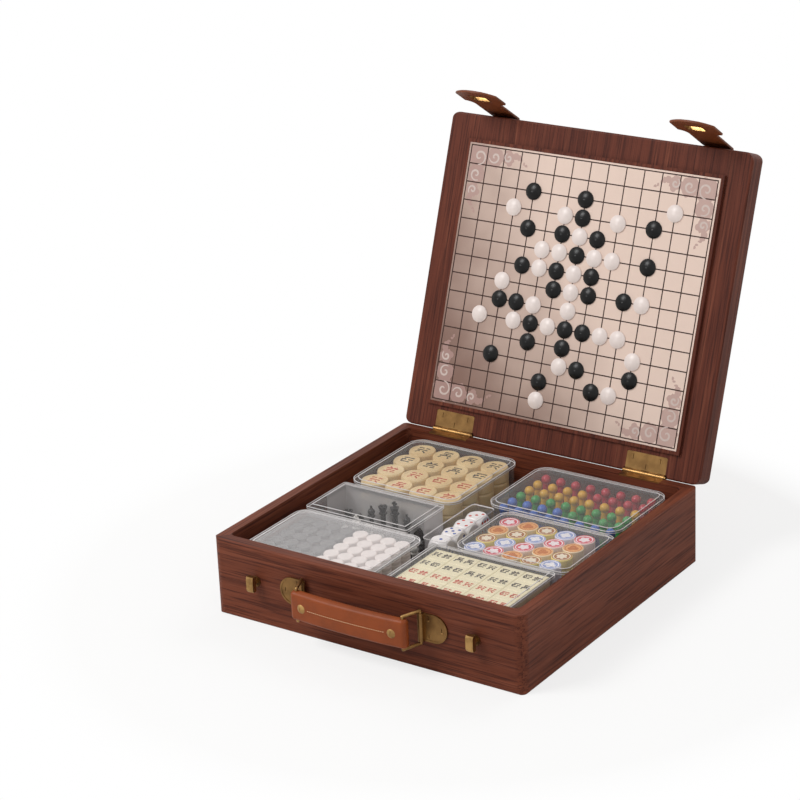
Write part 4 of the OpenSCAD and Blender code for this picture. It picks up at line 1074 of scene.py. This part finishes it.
class GAMES_OT_grip(bpy.types.Operator):
    """Builds the arched leather grip round its two wire loops, with its seam"""

    bl_idname = "games.grip"
    bl_label = "Grip"
    rise: length("Rise", "Rise of the arch", 2.5)
    thickness: length("Thickness", "Thickness of the grip", 9)
    swell: length("Swell", "How far the padding swells the leather", 0.5)
    roll: length("Roll", "Radius of the roll round a loop", 5)
    round: length("Rounding", "Rounding of the long edges", 3.4)
    seam_end: length("Seam end", "From a loop's bar to the end of the seam", 15)

    def execute(self, context):
        look = context.scene.games_leather
        low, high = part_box("handle_grip")
        self.bar_x = abs(JOINTS["grip_pivot"]["pos_m"][0])
        self.bar_y = JOINTS["grip_pivot"]["pos_m"][1]
        self.middle = (low.z + high.z) / 2
        self.half = (high.z - low.z) / 2
        self.arch = (self.bar_x**2 + self.rise**2) / (2 * self.rise)
        leather = material("grip_leather", tanned_leather, look.grip, look)
        grip = new_piece("leather_grip", self.grip_shape(), leather, "grip", 60)
        seam = bmesh.new()
        reach = self.bar_x - self.seam_end
        path = [(self.front(reach * (k / 30 - 1)), Vector((0, -1, 0))) for k in range(61)]
        stitches(seam, path, look.stitch * 0.75, look.thread_width)
        thread = material("waxed_thread", waxed_thread, look)
        new_piece("grip_stitching", seam, thread, "grip")
        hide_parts("handle_grip")
        return {"FINISHED"}

    def centre(self, x):
        """The arch's centre line at x, and its way out to the front."""
        drop = self.arch - math.sqrt(self.arch**2 - x**2)
        out = Vector((x, -(self.arch - drop), 0)).normalized()
        return Vector((x, self.bar_y - self.rise + drop, 0)), out

    def front(self, x):
        """A point on the grip's front face at mid height."""
        point, out = self.centre(x)
        point += out * (self.thickness / 2 + self.swell)
        return Vector((point.x, point.y, self.middle))

    def loop(self, inset, height):
        """The grip's outline in plan at a height from -1 to 1, drawn in by an inset."""
        points = []
        half = self.thickness / 2 - inset + self.swell * (1 - height * height)
        for way in (1, -1):
            for k in range(29):
                point, out = self.centre(way * self.bar_x * (k / 14 - 1))
                points.append(point + out * half * way)
            end = round_points([self.roll - inset] * 11, 10, -way * math.pi / 2, math.pi)
            bar = Vector((way * self.bar_x, self.bar_y, 0))
            points += [bar + Vector((x, y, 0)) for x, y in end[1:-1]]
        return points

    def grip_shape(self):
        """Outlines stacked up the grip's height, drawn in where its long edges are round."""
        edge = round_points([self.round] * 8, 7, sweep=math.pi / 2)
        levels = [(self.round - y, self.round - self.half - x) for x, y in edge]
        flat = [(0.0, z) for z in (-self.half * 0.45, 0.0, self.half * 0.45)]
        levels += flat + [(inset, -z) for inset, z in reversed(levels)]
        shape = bmesh.new()
        rings = []
        for inset, z in levels:
            up = Vector((0, 0, self.middle + z))
            rings.append([point + up for point in self.loop(inset, z / self.half)])
        skin(shape, rings)
        return shape


class GAMES_OT_cases(bpy.types.Operator):
    """Moulds the clear cases, their lids and the dice tray"""

    bl_idname = "games.cases"
    bl_label = "Cases"

    def execute(self, context):
        look = context.scene.games_case
        for case, corner, veil in CASES:
            radius = corner * MM
            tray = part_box(f"{case}_tray")
            # Painted highlight: the level of the bright line along each tray's rim and each lid's
            # rim.
            rim = tray[1].z - look.tray_rim
            back = look.back if case == "chess" else 0.0
            finish = (look, look.haze, tray, radius, (rim, rim), back)
            paint(material(f"clear_{case}_tray", clear_plastic, *finish), f"{case}_tray")
            if case == "dice":
                continue
            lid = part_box(f"{case}_tray_lid")
            finish = (look, veil, lid, radius, (lid[1].z - look.lid_rim, lid[1].z))
            paint(material(f"clear_{case}_lid", clear_plastic, *finish), f"{case}_tray_lid")
        return {"FINISHED"}


class GAMES_OT_marked_pieces(bpy.types.Operator):
    """Finishes the round wooden men and the tiles, and paints their marks"""

    bl_idname = "games.marked_pieces"
    bl_label = "Round Men and Tiles"

    def execute(self, context):
        look = context.scene.games_piece
        maple = material("turned_maple", turned_maple, look)
        ivory = material("urea_ivory", moulded_plastic, look.tile, 0.36)
        # The places of a piece's marks, half their size and their stroke, as parts of its width
        # and of a round man's stroke
        for kind, made, places, size, stroke, slot, body, seed in (
            ("discs", maple, (0,), 0.29, 1, "disc_wood", "disc_case", 4),
            ("tiles", ivory, (-0.22, 0.22), 0.21, 0.85, "tile_ivory", "tile_case", 9),
        ):
            rng = random.Random(seed)

            def draw(shape, centre, width, top):
                for away in places:
                    place = centre + Vector((away * width, 0, 0))
                    brush_mark(shape, rng.choice(MARKS), place, width * size,
                               look.mark_width * stroke, top, look.mark_depth)

            for tone, tint in (("red", look.red_mark), ("black", look.black_mark)):
                node = f"{kind}_{tone}"
                paint(made, node)
                ink = material(node + "_marks_paint", moulded_plastic, tint, 0.45)
                top_prints(node, node + "_marks", ink, body, draw)
        return {"FINISHED"}


class GAMES_OT_tokens(bpy.types.Operator):
    """Finishes the picture discs, each colour with its own petal motif"""

    bl_idname = "games.tokens"
    bl_label = "Picture Discs"
    sunk: length("Sunk", "From a disc's rim down to its printed face", 0.3)

    def execute(self, context):
        look = context.scene.games_piece
        for node, face, side, motif, petals in TOKENS:
            paint(material(node + "_print", topped_token, face, side), node)
            ink = material(node + "_motifs_ink", moulded_plastic, linear(motif), 0.4)
            draw = partial(self.flower, petals, look.mark_depth)
            top_prints(node, node + "_motifs", ink, "token_case", draw)
        return {"FINISHED"}

    def flower(self, count, depth, shape, centre, width, top):
        """A flower of round petals, and a thin ring near the rim."""
        radius, low = width / 2, top - self.sunk
        place = Matrix.Translation((centre.x, centre.y, 0))
        petals = (abs(math.cos(count * math.pi * k / 60)) for k in range(60))
        outline = round_points([radius * (0.34 + 0.2 * petal) for petal in petals], 60)
        plate(shape, outline, low, low + depth, place)
        ring(shape, radius * 0.72, radius * 0.84, low, low + depth, place)


class GAMES_OT_plain_pieces(bpy.types.Operator):
    """Finishes the stones, the chess men, the pegs and the dice"""

    bl_idname = "games.plain_pieces"
    bl_label = "Stones, Chess Men, Pegs and Dice"

    def execute(self, context):
        look = context.scene.games_piece
        for name, tint, rough, gloss, *nodes in (
            ("black_melamine", look.black_stone, 0.26, 0.22, "board_stones_black",
             "spare_stones_black"),
            ("white_melamine", look.white_stone, 0.28, 0.4, "board_stones_white",
             "spare_stones_white"),
            ("black_styrene", look.chess_black, 0.34, 0.4, "chess_men_black"),
            ("white_styrene", look.chess_white, 0.34, 0.4, "chess_men_white"),
        ):
            paint(material(name, moulded_plastic, tint, rough, gloss), *nodes)
        for name, code in PEGS:
            styrene = material(name + "_styrene", moulded_plastic, linear(code), 0.26)
            paint(styrene, "pegs_" + name)
        paint(material("white_acrylic_dice", painted_dice, look), "dice")
        return {"FINISHED"}


class GAMES_OT_stage(bpy.types.Operator):
    """Sets the floor, the lamps, the world and the camera"""

    bl_idname = "games.stage"
    bl_label = "Stage"
    half_floor: number("Half floor", "Half the floor's width, in metres", 6)
    aim: length("Aim", "Height of the point that the lamps face", 120)

    def execute(self, context):
        look = context.scene.games_stage
        self.floor(look)
        self.lamps()
        self.world(context)
        self.camera(context, look)
        context.scene.view_settings.view_transform = "Standard"
        return {"FINISHED"}

    def floor(self, look):
        """A wide pale floor that the camera sees as white but for the shadow."""
        x = self.half_floor
        mesh = bpy.data.meshes.new("floor")
        mesh.from_pydata([(-x, -x, 0), (x, -x, 0), (x, x, 0), (-x, x, 0)], [], [(0, 1, 2, 3)])
        mesh.materials.append(material("pale_floor", pale_floor, look))
        floor = placed("floor", mesh)

    def lamps(self):
        """Soft square lamps that point at the box."""
        for name, place, size, power in LAMPS:
            lamp = placed(name, bpy.data.lights.new(name, "AREA"))
            lamp.data.energy, lamp.data.size = power, size
            lamp.location = place
            aim = Vector((0, 0, self.aim)) - Vector(place)
            lamp.rotation_euler = aim.to_track_quat("-Z", "Y").to_euler()

    def world(self, context):
        """An even pale surround, white to the camera and in reflections."""
        world = bpy.data.worlds.new("studio")
        context.scene.world = world
        world.use_nodes = True
        world.node_tree.nodes.clear()
        node = partial(add, world.node_tree)
        rays = node("LightPath", out=None)
        mirrored = node("MAXIMUM", rays["Is Glossy Ray"], rays["Is Transmission Ray"])
        seen = node("MAXIMUM", rays["Is Camera Ray"], mirrored)
        strength = node("MULTIPLY_ADD", seen, 0.55, 0.45)
        surround = node("Background", {"Color": (1, 1, 1, 1), "Strength": strength})
        node("OutputWorld", surround, out=None)

    def camera(self, context, look):
        """The photograph's viewpoint."""
        turn, rise = math.radians(look.azimuth), math.radians(look.elevation)
        level = math.cos(rise)
        back = Vector((math.sin(turn) * level, -math.cos(turn) * level, math.sin(rise)))
        camera = placed("camera", bpy.data.cameras.new("camera"))
        camera.data.lens = look.lens
        camera.data.sensor_width = 36
        camera.data.clip_end = 20
        camera.location = Vector(look.target) + back * look.distance
        upright = (-back).to_track_quat("-Z", "Y").to_matrix()
        roll = Matrix.Rotation(math.radians(look.roll), 3, "Z")
        camera.rotation_euler = (upright @ roll).to_euler()
        context.scene.camera = camera


OPERATORS = (
    GAMES_OT_stage, GAMES_OT_wood, GAMES_OT_inner_board, GAMES_OT_outer_board, GAMES_OT_brass,
    GAMES_OT_straps, GAMES_OT_grip, GAMES_OT_cases, GAMES_OT_marked_pieces, GAMES_OT_tokens,
    GAMES_OT_plain_pieces,
)


class GAMES_PT_box(bpy.types.Panel):
    """Lists the box's pieces"""

    bl_label = "Games Box"
    bl_idname = "GAMES_PT_box"
    bl_space_type = "VIEW_3D"
    bl_region_type = "UI"
    bl_category = "Games Box"

    def draw(self, context):
        for operator in OPERATORS:
            self.layout.operator(operator.bl_idname)


CLASSES = tuple(LOOKS.values()) + OPERATORS + (GAMES_PT_box,)


def register():
    for cls in CLASSES:
        bpy.utils.register_class(cls)
    for name, look in LOOKS.items():
        setattr(bpy.types.Scene, name, bpy.props.PointerProperty(type=look))


def unregister():
    for name in LOOKS:
        delattr(bpy.types.Scene, name)
    for cls in reversed(CLASSES):
        bpy.utils.unregister_class(cls)


def main():
    """Registers the add-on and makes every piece."""
    register()
    for operator in OPERATORS:
        getattr(bpy.ops.games, operator.bl_idname.split(".")[1])()


if __name__ == "__main__":
    main()
